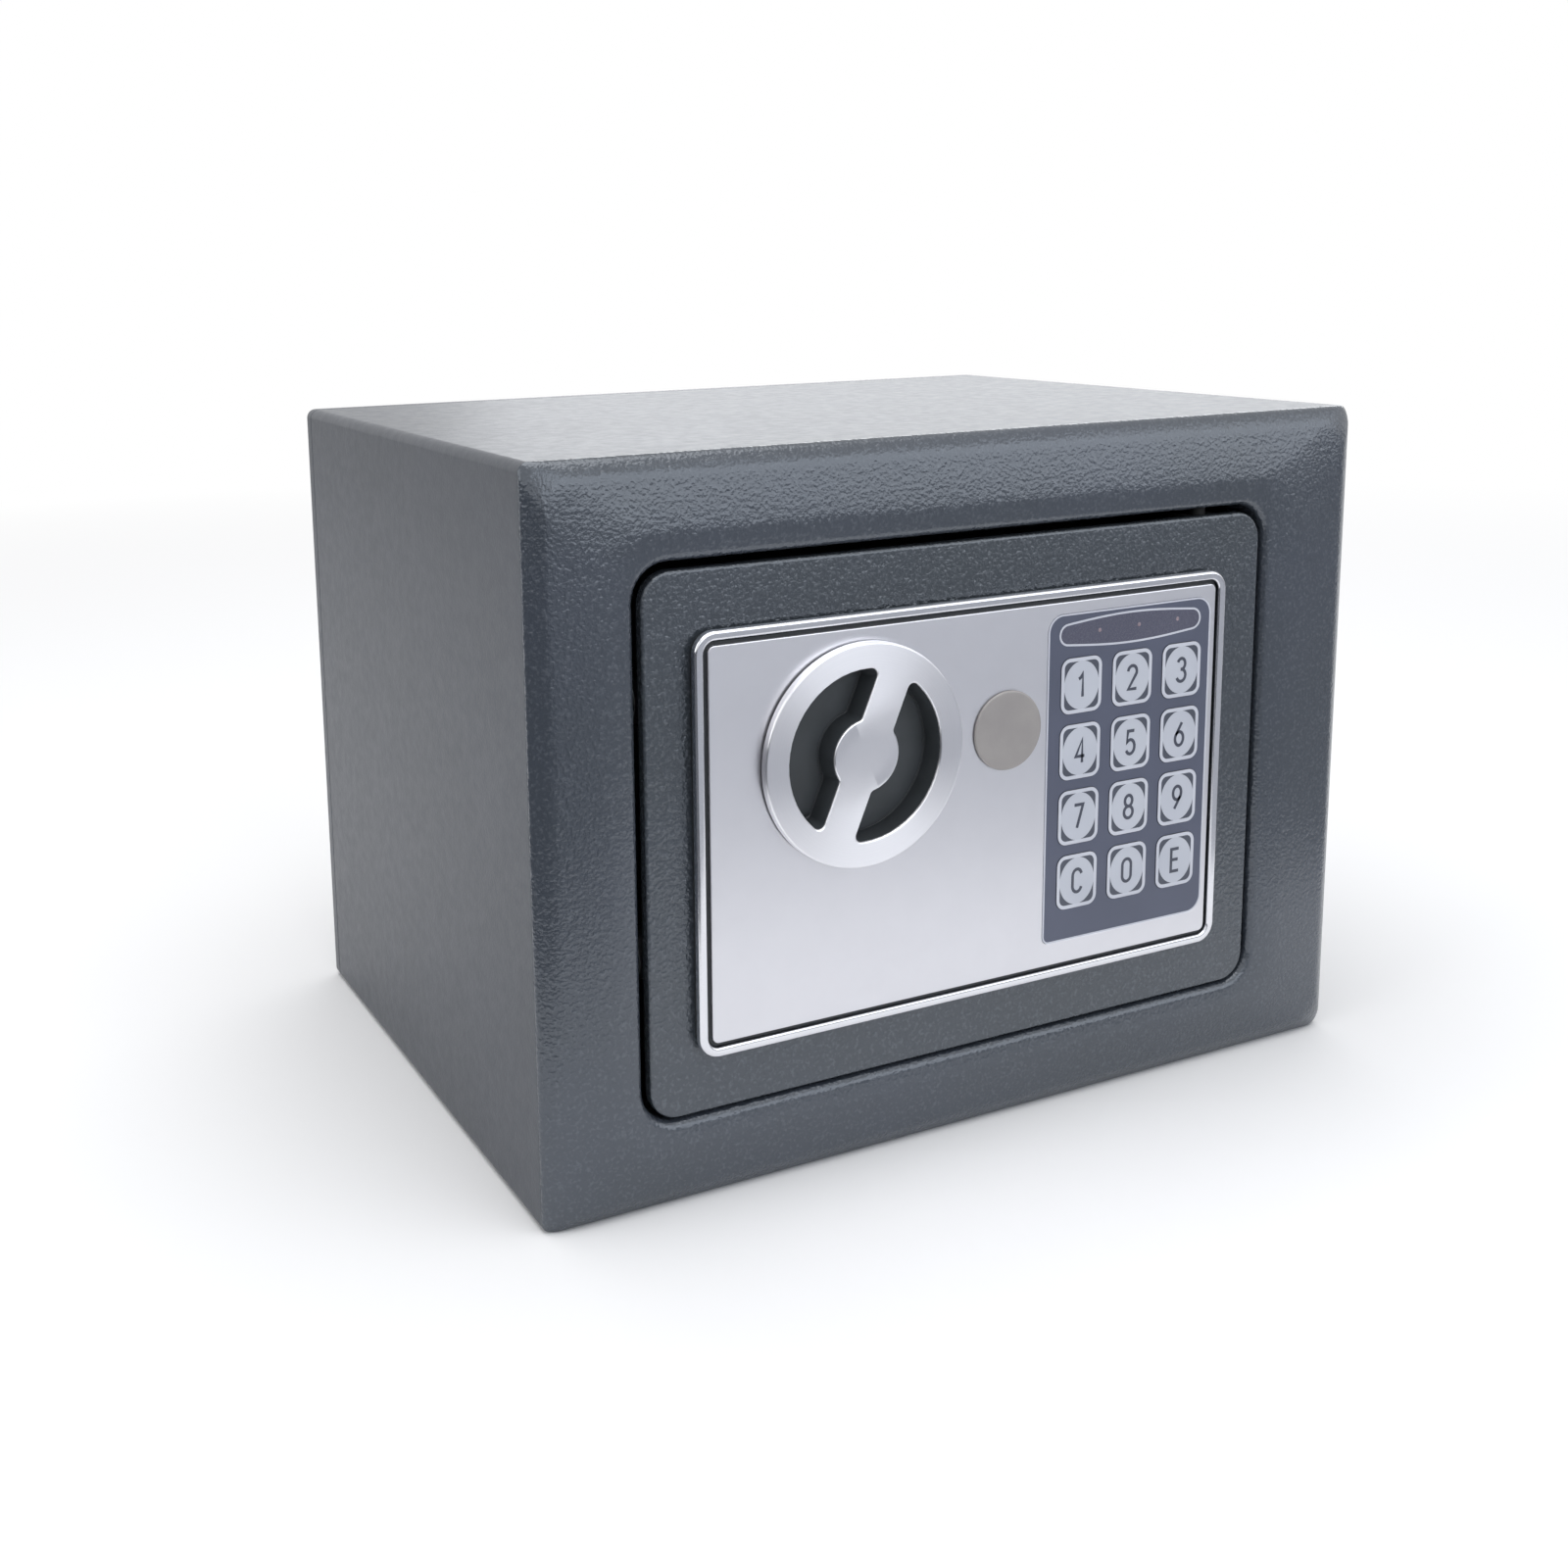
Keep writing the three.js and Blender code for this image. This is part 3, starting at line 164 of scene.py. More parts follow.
def objectPlace(tree, stretch=(1, 1, 1)):
    coordinate = put(tree, "ShaderNodeTexCoord").outputs["Object"]
    return put(tree, "ShaderNodeMapping", {"Vector": coordinate, "Scale": stretch}).outputs["Vector"]


def startMaterial(name, stretch=(1, 1, 1)):
    material, tree = blankMaterial(name)
    return material, tree, objectPlace(tree, stretch)


def surface(tree, colour, roughness, metallic=0.0, normal=None, fixed=None, tangent=None):
    inputs = {"Metallic": metallic, "Base Color": colour, "Roughness": roughness}
    for name, value in (("Normal", normal), ("Tangent", tangent)):
        if value is not None:
            inputs[name] = value
    inputs.update(fixed or {})
    shader = put(tree, "ShaderNodeBsdfPrincipled", inputs)
    put(tree, "ShaderNodeOutputMaterial", {0: shader.outputs[0]})


def relief(tree, height, depth, under=None):
    inputs = {"Height": height, "Distance": depth * mm, "Strength": 1.0}
    if under is not None:
        inputs["Normal"] = under
    return put(tree, "ShaderNodeBump", inputs).outputs["Normal"]


powderCoat = {
    # name: two tones, grain size and depth in mm, how far a painted glint pales its crests,
    # roughness low and high, index of refraction
    "housing": ((58, 62, 70), (56, 60, 67), 0.7, 0.045, 0.03, (0.34, 0.40), 1.46),
    "frame": ((56, 61, 70), (54, 59, 66), 0.82, 0.17, 0.11, (0.16, 0.21), 1.8),
    "door": ((54, 59, 66), (52, 57, 62), 0.86, 0.23, 0.14, (0.18, 0.23), 1.8),
}
# the first tint is a painted glint for the peel's crests; shine tints the coat's reflection
coatTints = {"crestGlint": (140, 146, 154), "shine": (0.88, 0.93, 1, 1)}


def powderCoatMaterial(part):
    first, second, peelSize, depth, glintShare, glossRange, refraction = powderCoat[part]
    material, tree, where = startMaterial(f"{part}PowderCoat")
    peel = grainNoise(tree, where, peelSize, 2, 0.45)
    pits = put(tree, "ShaderNodeTexVoronoi", {"Vector": where, "Scale": 1 / (1.6 * peelSize * mm)},
               feature="SMOOTH_F1").outputs["Distance"]
    base = cloudedTone(tree, grainNoise(tree, where, 34, 2), first, second)
    # the peel's crests are paled towards a bluish grey: a painted glint
    shade = mixTones(tree, spread(tree, peel, 0, glintShare, 0.52, 0.72), base, tone(*coatTints["crestGlint"]))
    normal = relief(tree, peel, depth, relief(tree, pits, 0.25 * depth))
    gloss = spread(tree, grainNoise(tree, where, 3, 3), *glossRange)
    surface(tree, shade, gloss, 0.0, normal, {"IOR": refraction, "Specular Tint": coatTints["shine"]})
    return material


plainFinishes = {
    # name: colour, second tint, metallic, roughness low and high, grain mm, relief mm, stretch
    "satinPlate": ((223, 223, 228), (221, 221, 226), 1.0, (0.32, 0.38), 0.25, 0.0016, (1, 1, 1)),
    "brightTrim": ((226, 227, 232), (223, 224, 229), 1.0, (0.13, 0.19), 0.50, 0.0008, (1, 1, 1)),
    "capMetal": ((157, 153, 151), (150, 146, 145), 0.35, (0.42, 0.52), 0.25, 0.0020, (1, 1, 1)),
    "darkPlastic": ((38, 42, 45), (33, 37, 40), 0.0, (0.36, 0.50), 0.35, 0.0080, (1, 1, 1)),
    "cupPlastic": ((58, 62, 66), (50, 54, 57), 0.0, (0.38, 0.50), 0.30, 0.0050, (1, 1, 1)),
    "coverPlastic": ((64, 68, 71), (57, 61, 64), 0.0, (0.42, 0.56), 0.45, 0.0140, (1, 1, 1)),
    "redPlastic": ((178, 38, 30), (160, 32, 26), 0.0, (0.28, 0.38), 0.40, 0.0030, (1, 1, 1)),
    # near black steel for the hinge: a painted shade, so that it reads as the dark door gap
    "gapShadeSteel": ((14, 15, 16), (11, 12, 13), 0.0, (0.60, 0.75), 0.50, 0.0040, (1, 1, 1)),
    "zincSteel": ((176, 179, 182), (160, 163, 168), 1.0, (0.26, 0.42), 0.60, 0.0030, (1, 1, 6)),
    "springSteel": ((190, 192, 196), (170, 172, 178), 1.0, (0.18, 0.30), 0.30, 0.0010, (1, 1, 1)),
    "brass": ((196, 160, 88), (178, 142, 74), 1.0, (0.22, 0.36), 0.40, 0.0015, (1, 5, 1)),
    "rubberBlack": ((30, 31, 32), (24, 25, 26), 0.0, (0.62, 0.78), 0.40, 0.0100, (1, 1, 1)),
}


def plainMaterial(name):
    first, second, metallic, gloss, grain, depth, stretch = plainFinishes[name]
    material, tree, where = startMaterial(name, stretch)
    fine = grainNoise(tree, where, grain, 2, 0.6)
    colour = cloudedTone(tree, grainNoise(tree, where, 26 * grain, 3), first, second)
    surface(tree, colour, spread(tree, fine, *gloss), metallic, relief(tree, fine, depth))
    return material


spunFinish = {
    "tone": (244, 244, 248),
    "ringTint": 5,  # how much darker the rings are
    "pitch": 0.16,
    "ringDepth": 0.0012,
    "roughness": (0.30, 0.35),
    "anisotropy": 0.88,
    "hub": 8,
    "brushed": (0.93, 0, 0.36),  # the way the hub is brushed
    "fade": (0.5, 1.7),  # hub radii over which the rings take over
}


def spunMaterial(name, s, centre):
    # turned on a lathe: fine rings round the centre, with highlights that run out from it
    material, tree = blankMaterial(name)
    where = put(tree, "ShaderNodeTexCoord").outputs["Object"]
    spoke = put(tree, "ShaderNodeMapping", {
        "Vector": where, "Location": (-centre[0] * mm, 0, -centre[1] * mm), "Scale": (1, 0, 1),
    }).outputs["Vector"]
    reach = put(tree, "ShaderNodeVectorMath", {0: spoke}, operation="LENGTH").outputs["Value"]
    turns = calc(tree, "DIVIDE", reach, s["pitch"] * mm)
    rings = put(tree, "ShaderNodeTexNoise", {"W": turns, "Scale": 1, "Detail": 2},
                noise_dimensions="1D").outputs["Fac"]
    shade = cloudedTone(tree, rings, s["tone"], [value - s["ringTint"] for value in s["tone"]])
    # both sides of the brushed way point alike, so that the hub and the rings blend
    spoke = put(tree, "ShaderNodeVectorMath", {0: spoke}, operation="NORMALIZE").outputs[0]
    facing = put(tree, "ShaderNodeVectorMath", {0: spoke, 1: s["brushed"]},
                 operation="DOT_PRODUCT").outputs["Value"]
    spoke = put(tree, "ShaderNodeVectorMath", {0: spoke, "Scale": calc(tree, "SIGN", facing)},
                operation="SCALE").outputs[0]
    outside = spread(tree, reach, 0, 1, *(share * s["hub"] * mm for share in s["fade"]))
    across = put(tree, "ShaderNodeMix", {0: outside, 4: s["brushed"], 5: spoke},
                 data_type="VECTOR").outputs[1]
    tangent = put(tree, "ShaderNodeVectorTransform", {0: across}, vector_type="VECTOR",
                  convert_from="OBJECT", convert_to="WORLD").outputs[0]
    gloss = spread(tree, grainNoise(tree, where, 0.3, 2), *s["roughness"])
    surface(tree, shade, gloss, 1.0, relief(tree, rings, s["ringDepth"]),
            {"Anisotropic": s["anisotropy"]}, tangent)
    return material


films = {
    # name: colour, second tint, roughness low and high
    "slateFilm": ((80, 85, 104), (76, 81, 99), (0.34, 0.44)),
    "windowFilm": ((84, 85, 101), (80, 81, 97), (0.22, 0.30)),
    "silverInk": ((196, 199, 209), (188, 191, 202), (0.30, 0.42)),
    "discInk": ((186, 190, 200), (178, 182, 193), (0.32, 0.44)),
    "cornerInk": ((70, 75, 88), (66, 70, 83), (0.34, 0.44)),
    "digitInk": ((66, 70, 84), (60, 64, 78), (0.34, 0.44)),
}


def filmMaterial(name):
    # printed film: even ink with a very fine emboss
    first, second, gloss = films[name]
    material, tree, where = startMaterial(name)
    weave = grainNoise(tree, where, 0.18, 1)
    colour = cloudedTone(tree, grainNoise(tree, where, 16, 2), first, second)
    surface(tree, colour, spread(tree, weave, *gloss), 0.0, relief(tree, weave, 0.003), {"Coat Weight": 0.15})
    return material


def feltMaterial():
    material, tree, where = startMaterial("matFelt")
    fibres = grainNoise(tree, objectPlace(tree, (1, 0.25, 1)), 0.5, 5, 0.7)
    cross = grainNoise(tree, objectPlace(tree, (0.25, 1, 1)), 0.5, 5, 0.7)
    tangle = calc(tree, "MAXIMUM", fibres, cross)
    colour = cloudedTone(tree, tangle, (26, 27, 29), (58, 60, 63), 0.4, 0.75)
    surface(tree, colour, spread(tree, grainNoise(tree, where, 3), 0.85, 1.0), 0.0,
            relief(tree, tangle, 0.35), {"Sheen Weight": 0.35, "Sheen Roughness": 0.5})
    return material


def boardMaterial():
    # solder mask with faint copper tracks
    material, tree, where = startMaterial("circuitBoard")
    upright = put(tree, "ShaderNodeMapping", {"Vector": where, "Rotation": (math.pi / 2, 0, 0)})
    tracks = put(tree, "ShaderNodeTexBrick", {
        "Vector": upright.outputs["Vector"], "Scale": 1 / (14 * mm), "Mortar Size": 0.018,
        "Color1": (0, 0, 0, 1), "Color2": (0, 0, 0, 1), "Mortar": (1, 1, 1, 1),
    }).outputs["Fac"]
    colour = mixTones(tree, spread(tree, tracks, 0, 0.7, 0, 1), tone(24, 74, 46), tone(70, 128, 84))
    surface(tree, colour, spread(tree, grainNoise(tree, where, 0.6), 0.25, 0.38), 0.0,
            relief(tree, tracks, 0.03), {"Coat Weight": 0.4})
    return material


def windingMaterial():
    material, tree, where = startMaterial("copperWinding")
    turns = put(tree, "ShaderNodeTexWave", {"Vector": where, "Scale": 1 / (2.4 * mm), "Distortion": 0.6},
                bands_direction="Z").outputs["Fac"]
    # darker copper where the wave runs low, in the grooves between the turns: painted shade
    colour = mixTones(tree, turns, tone(120, 62, 32), tone(196, 112, 62))
    surface(tree, colour, spread(tree, turns, 0.3, 0.45, 0, 1), 0.8, relief(tree, turns, 0.12))
    return material


def sleeveMaterial():
    # battery sleeve: a dark wrap with a paler band at the positive end
    material, tree, where = startMaterial("batterySleeve")
    scuff = grainNoise(tree, where, 1.8, 4)
    sideways = put(tree, "ShaderNodeSeparateXYZ", {0: where}).outputs["X"]
    band = spread(tree, sideways, 0, 1, 31.5 * mm, 31.6 * mm)
    colour = mixTones(tree, band, tone(38, 42, 50), tone(176, 128, 52))
    surface(tree, colour, spread(tree, scuff, 0.22, 0.36), 0.3, relief(tree, scuff, 0.01),
            {"Coat Weight": 0.5})
    return material


def cableMaterial():
    material, tree, where = startMaterial("ribbonCable")
    wires = put(tree, "ShaderNodeTexWave", {"Vector": where, "Scale": 1 / (5 * mm)},
                bands_direction="X").outputs["Fac"]
    # darker grey where the wave runs low, in the grooves between the wires: painted shade
    colour = mixTones(tree, wires, tone(118, 121, 126), tone(166, 169, 174))
    gloss = spread(tree, grainNoise(tree, where, 0.8), 0.45, 0.6)
    surface(tree, colour, gloss, 0.0, relief(tree, wires, 0.15))
    return material


def lensMaterial():
    material, tree, where = startMaterial("ledLens")
    haze = grainNoise(tree, where, 0.4, 2)
    colour = cloudedTone(tree, haze, (146, 130, 138), (126, 112, 120))
    surface(tree, colour, spread(tree, haze, 0.15, 0.3), 0.0, relief(tree, haze, 0.01), {"Coat Weight": 0.5})
    return material


knobBox, capBox = cad("knob_face"), cad("key_cap")
knobCentre, capCentre = middle(knobBox), middle(capBox)
paint = {
    "satinKnob": spunMaterial("satinKnob", spunFinish, knobCentre),
    "felt": feltMaterial(),
    "board": boardMaterial(),
    "winding": windingMaterial(),
    "sleeve": sleeveMaterial(),
    "cable": cableMaterial(),
    "lens": lensMaterial(),
}
paint.update({part: powderCoatMaterial(part) for part in powderCoat})
paint.update({name: filmMaterial(name) for name in films})
paint.update({name: plainMaterial(name) for name in plainFinishes})
print("materials made:", len(paint))


# Mesh helpers
def meshFrom(bm, name, outwards=True):
    if outwards:
        bmesh.ops.recalc_face_normals(bm, faces=bm.faces)
    mesh = bpy.data.meshes.new(name)
    bm.to_mesh(mesh)
    bm.free()
    return mesh


def finishMesh(mesh, name, finish, angle=35):
    mesh.name = name
    piece = addObject(name, mesh)
    mesh.materials.append(paint[finish])
    mesh.shade_smooth()
    mesh.set_sharp_from_angle(angle=math.radians(angle))
    return piece


def weightNormals(piece):
    modifier = piece.modifiers.new("weightNormals", "WEIGHTED_NORMAL")
    modifier.keep_sharp = True
    modifier.weight = 80
    return bake(piece)


def bake(piece):
    # the evaluated shape becomes the piece's plain mesh
    evaluated = piece.evaluated_get(bpy.context.evaluated_depsgraph_get())
    mesh = bpy.data.meshes.new_from_object(evaluated)
    old = piece.data
    piece.modifiers.clear()
    piece.data = mesh
    mesh.name = piece.name
    if old.users == 0:
        bpy.data.meshes.remove(old)
    return piece


def place(piece, body, slot, *nodes):
    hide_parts(*nodes)
    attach(piece, body)


def roundedRect(x0, x1, z0, z1, radius, steps=8, leastTurn=0.02):
    # radii run from the lower left corner round to the right
    radii = radius if isinstance(radius, (list, tuple)) else [radius] * 4
    corners = [(x0, z0, 1, 1, 2), (x1, z0, -1, 1, 3), (x1, z1, -1, -1, 0), (x0, z1, 1, -1, 1)]

    def outline(inset=0.0):
        ring = []
        for (x, z, inX, inZ, quarter), size in zip(corners, radii):
            turn = max(size - inset, leastTurn)
            centre = (x + inX * (inset + turn), z + inZ * (inset + turn))
            for i in range(steps + 1):
                angle = (quarter + i / steps) * math.pi / 2
                ring.append((centre[0] + turn * math.cos(angle), centre[1] + turn * math.sin(angle)))
        return ring
    return outline


def circle(x, z, radius, steps=96):
    def outline(inset=0.0):
        size = radius - inset
        return [(x + size * math.cos(2 * math.pi * i / steps), z + size * math.sin(2 * math.pi * i / steps))
                for i in range(steps)]
    return outline


def grownRect(box, grow, radius, steps=8):
    x0, x1, _, _, z0, z1 = box
    return roundedRect(x0 - grow, x1 + grow, z0 - grow, z1 + grow, radius, steps)


def ringVerts(bm, ring):
    return [bm.verts.new((x * mm, y * mm, z * mm)) for x, y, z in ring]


def addWalls(bm, rings):
    for near, far in zip(rings, rings[1:]):
        count = len(near)
        for i in range(count):
            j = (i + 1) % count
            bm.faces.new((near[i], near[j], far[j], far[i]))


def flatCap(bm, rings):
    # fills the flat area inside the first ring and outside the others
    flat = [[Vector((v.co.x, v.co.z, 0)) for v in ring] for ring in rings]
    corners = [v for ring in rings for v in ring]
    for a, b, c in tessellate_polygon(flat):
        if len({a, b, c}) == 3:
            bm.faces.new((corners[a], corners[b], corners[c]))


def along(outline, inset, y):
    return [(x, y, z) for x, z in outline(inset)]


def platePiece(name, parts, finish, angle=35):
    # parts are (outline, profile, through); a profile is (inset, y) pairs from the front to the rear,
    # and a part that isn't through is a pocket with its own floor
    bm = bmesh.new()
    fronts, rears = [], []
    for outline, profile, through in parts:
        rings = [ringVerts(bm, along(outline, inset, y)) for inset, y in profile]
        addWalls(bm, rings)
        fronts.append(rings[0])
        if through:
            rears.append(rings[-1])
        else:
            flatCap(bm, [rings[-1]])
    flatCap(bm, fronts)
    flatCap(bm, rears)
    bmesh.ops.remove_doubles(bm, verts=bm.verts, dist=1e-7)
    return weightNormals(finishMesh(meshFrom(bm, name), name, finish, angle))


def quarterRound(radius, steps, y):
    # (inset, y) pairs from the flat front round to the wall
    turns = [math.pi / 2 * i / steps for i in range(steps + 1)]
    return [(radius * (1 - math.sin(a)), y + radius * (1 - math.cos(a))) for a in turns]


def holeRound(radius, steps, y):
    # the same for the edge of a hole, whose outline grows towards the front
    return [(-inset, depth) for inset, depth in quarterRound(radius, steps, y)]


def ringSkin(name, rings, finish, closed=True, angle=35, weigh=True):
    bm = bmesh.new()
    made = [ringVerts(bm, ring) for ring in rings]
    addWalls(bm, made + made[:1] if closed else made)
    if not closed:
        bm.faces.new(made[0])
        bm.faces.new(made[-1])
    piece = finishMesh(meshFrom(bm, name), name, finish, angle)
    return weightNormals(piece) if weigh else piece


def joined(name, pieces):
    # one object from several, with their materials kept
    target = bmesh.new()
    materials = []
    for piece in pieces:
        start = len(target.faces)
        slots = []
        for material in piece.data.materials:
            if material not in materials:
                materials.append(material)
            slots.append(materials.index(material))
        target.from_mesh(piece.data)
        target.faces.ensure_lookup_table()
        for face in target.faces[start:]:
            face.material_index = slots[min(face.material_index, len(slots) - 1)]
    mesh = meshFrom(target, name, outwards=False)
    for piece in pieces:
        old = piece.data
        bpy.data.objects.remove(piece)
        bpy.data.meshes.remove(old)
    for material in materials:
        mesh.materials.append(material)
    return weightNormals(addObject(name, mesh))


easing = {"sharpFrom": 30, "segments": 2, "easedAngle": 50, "plainAngle": 35}


def dressed(node, name, finish, body, slot, bevel):
    # a merged copy of a CAD node with its sharp edges eased
    bm = bmesh.new()
    bm.from_mesh(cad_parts[node].data)
    bmesh.ops.remove_doubles(bm, verts=bm.verts, dist=1e-6)
    bmesh.ops.dissolve_limit(bm, angle_limit=math.radians(1), verts=bm.verts, edges=bm.edges)
    if bevel:
        sharp = math.radians(easing["sharpFrom"])
        edges = [e for e in bm.edges if len(e.link_faces) == 2 and e.calc_face_angle(0) > sharp]
        bmesh.ops.bevel(bm, geom=edges, offset=bevel * mm, segments=easing["segments"], profile=0.5,
                        affect="EDGES", clamp_overlap=True)
    angle = easing["easedAngle" if bevel else "plainAngle"]
    place(weightNormals(finishMesh(meshFrom(bm, name), name, finish, angle)), body, slot, node)


# Housing: folded box wall, rear panel and pressed front frame
housing = {
    "edge": 2.5,
    "sheet": 1.2,
    "cornerSteps": 8,
    "cutEdge": (0.25, 0.07),  # how far the wall's cut edges are eased, at the corner and halfway round
    "backEdge": 0.2,
    "backSteps": 6,
    "anchorHole": 4,
    "anchorEdge": 0.3,
    "frameEdge": 5,
    "frameCorner": 9,
    "lip": 2.4,
    "lipSteps": 8,
    "doorGap": 1.4,
    "doorCorner": 7,
    "outerDrop": 1.2,  # how far the border lies back at its outer side
    "innerDrop": 0.4,  # and at the door
    "crownAt": 0.72,  # where between the two it stands furthest forward
    "outerBow": 1.25,
    "innerBow": 2,
    "borderSteps": 24,
    # inset in mm and rise as a share, from the seam to the border
    "roll": [(0, 0), (0.03, 0.1), (0.14, 0.2), (0.42, 0.33), (1.0, 0.47), (2.0, 0.64), (3.1, 0.81),
             (3.9, 0.895), (4.8, 0.96), (6.0, 1)],
    "insideCorner": 1.5,
    "footCorner": 1.3,
    "foot": 1,
}
floorMat = {
    "corner": 6,
    "wall": 1.4,
    "edge": [(0.25, 0.5), (0.8, 0.12), (1.6, 0)],  # inset and how far below the top
}


def buildBodyWrap():
    box = cad("body_wrap")
    y0, y1 = box[2:4]
    s = housing
    wall = grownRect(box, 0, s["edge"], s["cornerSteps"])
    rim, halfway = s["cutEdge"]
    section = [(rim, y0), (halfway, y0 + halfway), (0, y0 + rim), (0, y1 - rim), (halfway, y1 - halfway),
               (rim, y1), (s["sheet"], y1), (s["sheet"], y0)]
    rings = [along(wall, inset, y) for inset, y in section]
    place(ringSkin("bodyWrap", rings, "housing"), "housing", "housing_paint", "body_wrap")


def buildBackPanel():
    box = cad("back_panel")
    y0, y1 = box[2:4]
    s = housing
    sheet, edge, eased = s["sheet"], s["edge"], s["backEdge"]
    profile = [(sheet, y1 - sheet), (sheet, y0), (eased, y0), (0, y0 + eased)]
    for k in range(s["backSteps"] + 1):
        a = math.pi / 2 * k / s["backSteps"]
        profile.append((edge * (1 - math.cos(a)), y1 - edge * (1 - math.sin(a))))
    parts = [(grownRect(box, 0, edge, s["cornerSteps"]), profile, True)]
    for side in ("left", "right"):
        hole = circle(*middle(cad(f"anchor_plug_{side}")), s["anchorHole"], 40)
        flare = s["anchorEdge"]
        parts.append((hole, [(0, y1 - sheet), (0, y1 - flare), (-flare, y1)], True))
    place(platePiece("backPanel", parts, "housing"), "housing", "housing_paint", "back_panel")


def buildFrontFrame():
    box, doorBox = cad("front_frame"), cad("door_plate")
    y0, y1 = box[2:4]
    s = housing
    sheet, edge, lip = s["sheet"], s["frameEdge"], s["lip"]
    seam = y0 + edge
    lipFront = y0 + s["innerDrop"]

    def border(inset, radius, y):
        return along(grownRect(box, -inset, radius, s["cornerSteps"]), 0, y)

    def opening(grow, y):
        corner = s["doorCorner"] + s["doorGap"] + grow
        return along(grownRect(doorBox, s["doorGap"] + grow, corner, s["cornerSteps"]), 0, y)

    rings = []
    for k, (inset, rise) in enumerate(s["roll"]):  # the outer edge
        radius = s["edge"] + (s["frameCorner"] - s["edge"]) * k / (len(s["roll"]) - 1)
        rings.append(border(inset, radius, seam - (edge - s["outerDrop"]) * rise))
    outside, inside = rings[-1], opening(lip, lipFront)
    for k in range(1, s["borderSteps"]):  # the bowed border between the roll and the lip
        t = k / s["borderSteps"]
        if t < s["crownAt"]:
            drop = s["outerDrop"] * (1 - t / s["crownAt"]) ** s["outerBow"]
        else:
            drop = s["innerDrop"] * ((t - s["crownAt"]) / (1 - s["crownAt"])) ** s["innerBow"]
        rings.append([(a[0] + (b[0] - a[0]) * t, y0 + drop, a[2] + (b[2] - a[2]) * t)
                      for a, b in zip(outside, inside)])
    # the lip rolls back into the opening
    rings += [opening(grow, y) for grow, y in quarterRound(lip, s["lipSteps"], lipFront)]
    rings += [opening(0, y1), opening(sheet, y1), opening(sheet, lipFront + lip),
              opening(lip + sheet, lipFront + sheet),
              border(edge, s["insideCorner"], y0 + s["outerDrop"] + sheet),
              border(sheet, s["footCorner"], seam - s["foot"]), border(sheet, s["footCorner"], seam)]
    place(ringSkin("frontFrame", rings, "frame"), "housing", "frame_paint", "front_frame")


def buildFloorMat():
    # thin felt with a soft edge and a slight swell
    x0, x1, y0, y1, z0, z1 = cad("floor_mat")
    s = floorMat
    rings = []
    for inset, z in [(0, z0), (0, z0 + s["wall"])] + [(inset, z1 - drop) for inset, drop in s["edge"]]:
        rings.append([(x, y, z) for x, y in roundedRect(x0, x1, y0, y1, s["corner"])(inset)])
    mat = ringSkin("floorMat", rings, "felt", closed=False, weigh=False)
    place(mat, "housing", "mat_fabric", "floor_mat")


buildBodyWrap()
buildBackPanel()
buildFrontFrame()
buildFloorMat()
for side in ("left", "right"):
    dressed(f"anchor_plug_{side}", f"anchorPlug{side.title()}", "rubberBlack", "housing", "rubber", 0.3)
print("housing built")


# Door leaf and front panel
door = {
    "front": -84.0,
    "rear": -81.0,
    "corner": 7,
    "edge": 0.7,
    "rearEdge": 0.3,
    "hang": (0.4, -0.25, -0.7, -0.5),  # the leaf hangs a little low: left, right, lower, upper edge
    "knobHole": 23.5,
    "lockHole": 8.3,
    "boardGap": 0.4,
    "boardCorner": 0.3,
    "postInset": 6.5,
    "postRadius": 3.5,
    "postRoot": 0.5,  # how far a post starts inside the leaf
    "postSeat": 1.8,  # and ends short of the inner cover's back face
    "panelCorner": 5,
    # the bright rim's section: inset and depth from its front
    "bezel": [(0, 0.8), (0.04, 0.5), (0.15, 0.26), (0.33, 0.1), (0.55, 0.03), (0.8, 0), (1.55, 0.02),
              (1.85, 0.08), (2.05, 0.22), (2.17, 0.42), (2.2, 0.7)],
    "plateCorner": 1.6,
    "plateEdge": 0.22,
    "well": 22.5,
    "padGap": 0.3,
    "padCorners": [1.6, 4, 4, 4],
}


def buildDoorPlate():
    x0, x1, _, _, z0, z1 = cad("door_plate")
    s = door
    front, rear = s["front"], s["rear"]
    left, right, lower, upper = s["hang"]
    leaf = roundedRect(x0 + left, x1 + right, z0 + lower, z1 + upper, s["corner"])
    profile = quarterRound(s["edge"], 4, front) + [(0, rear - s["rearEdge"]), (s["rearEdge"], rear)]
    straight = [(0, front), (0, rear)]
    plate = platePiece("doorLeaf", [
        (leaf, profile, True),
        (circle(*knobCentre, s["knobHole"]), straight, True),
        (circle(*capCentre, s["lockHole"], 48), straight, True),
        (grownRect(cad("keypad_board"), s["boardGap"], s["boardCorner"], 2), straight, True),
    ], "door")
    posts = []
    cover, inset = cad("inner_cover"), s["postInset"]
    ends = [(0, rear - s["postRoot"]), (0, cover[3] - s["postSeat"])]
    for x in (cover[0] + inset, cover[1] - inset):
        for z in (cover[4] + inset, cover[5] - inset):
            posts.append(platePiece("coverPost", [(circle(x, z, s["postRadius"], 32), ends, True)], "door"))
    place(joined("doorPlate", [plate, *posts]), "door", "door_paint", "door_plate")


def buildBezel():
    box = cad("panel_bezel")
    y0, y1 = box[2:4]
    rim = grownRect(box, 0, door["panelCorner"], 10)
    section = [(inset, y0 + depth) for inset, depth in door["bezel"]]
    section = [(0, y1), *section, (section[-1][0], y1)]
    rings = [along(rim, inset, y) for inset, y in section]
    place(ringSkin("panelBezel", rings, "brightTrim", angle=50), "door", "bright_trim", "panel_bezel")


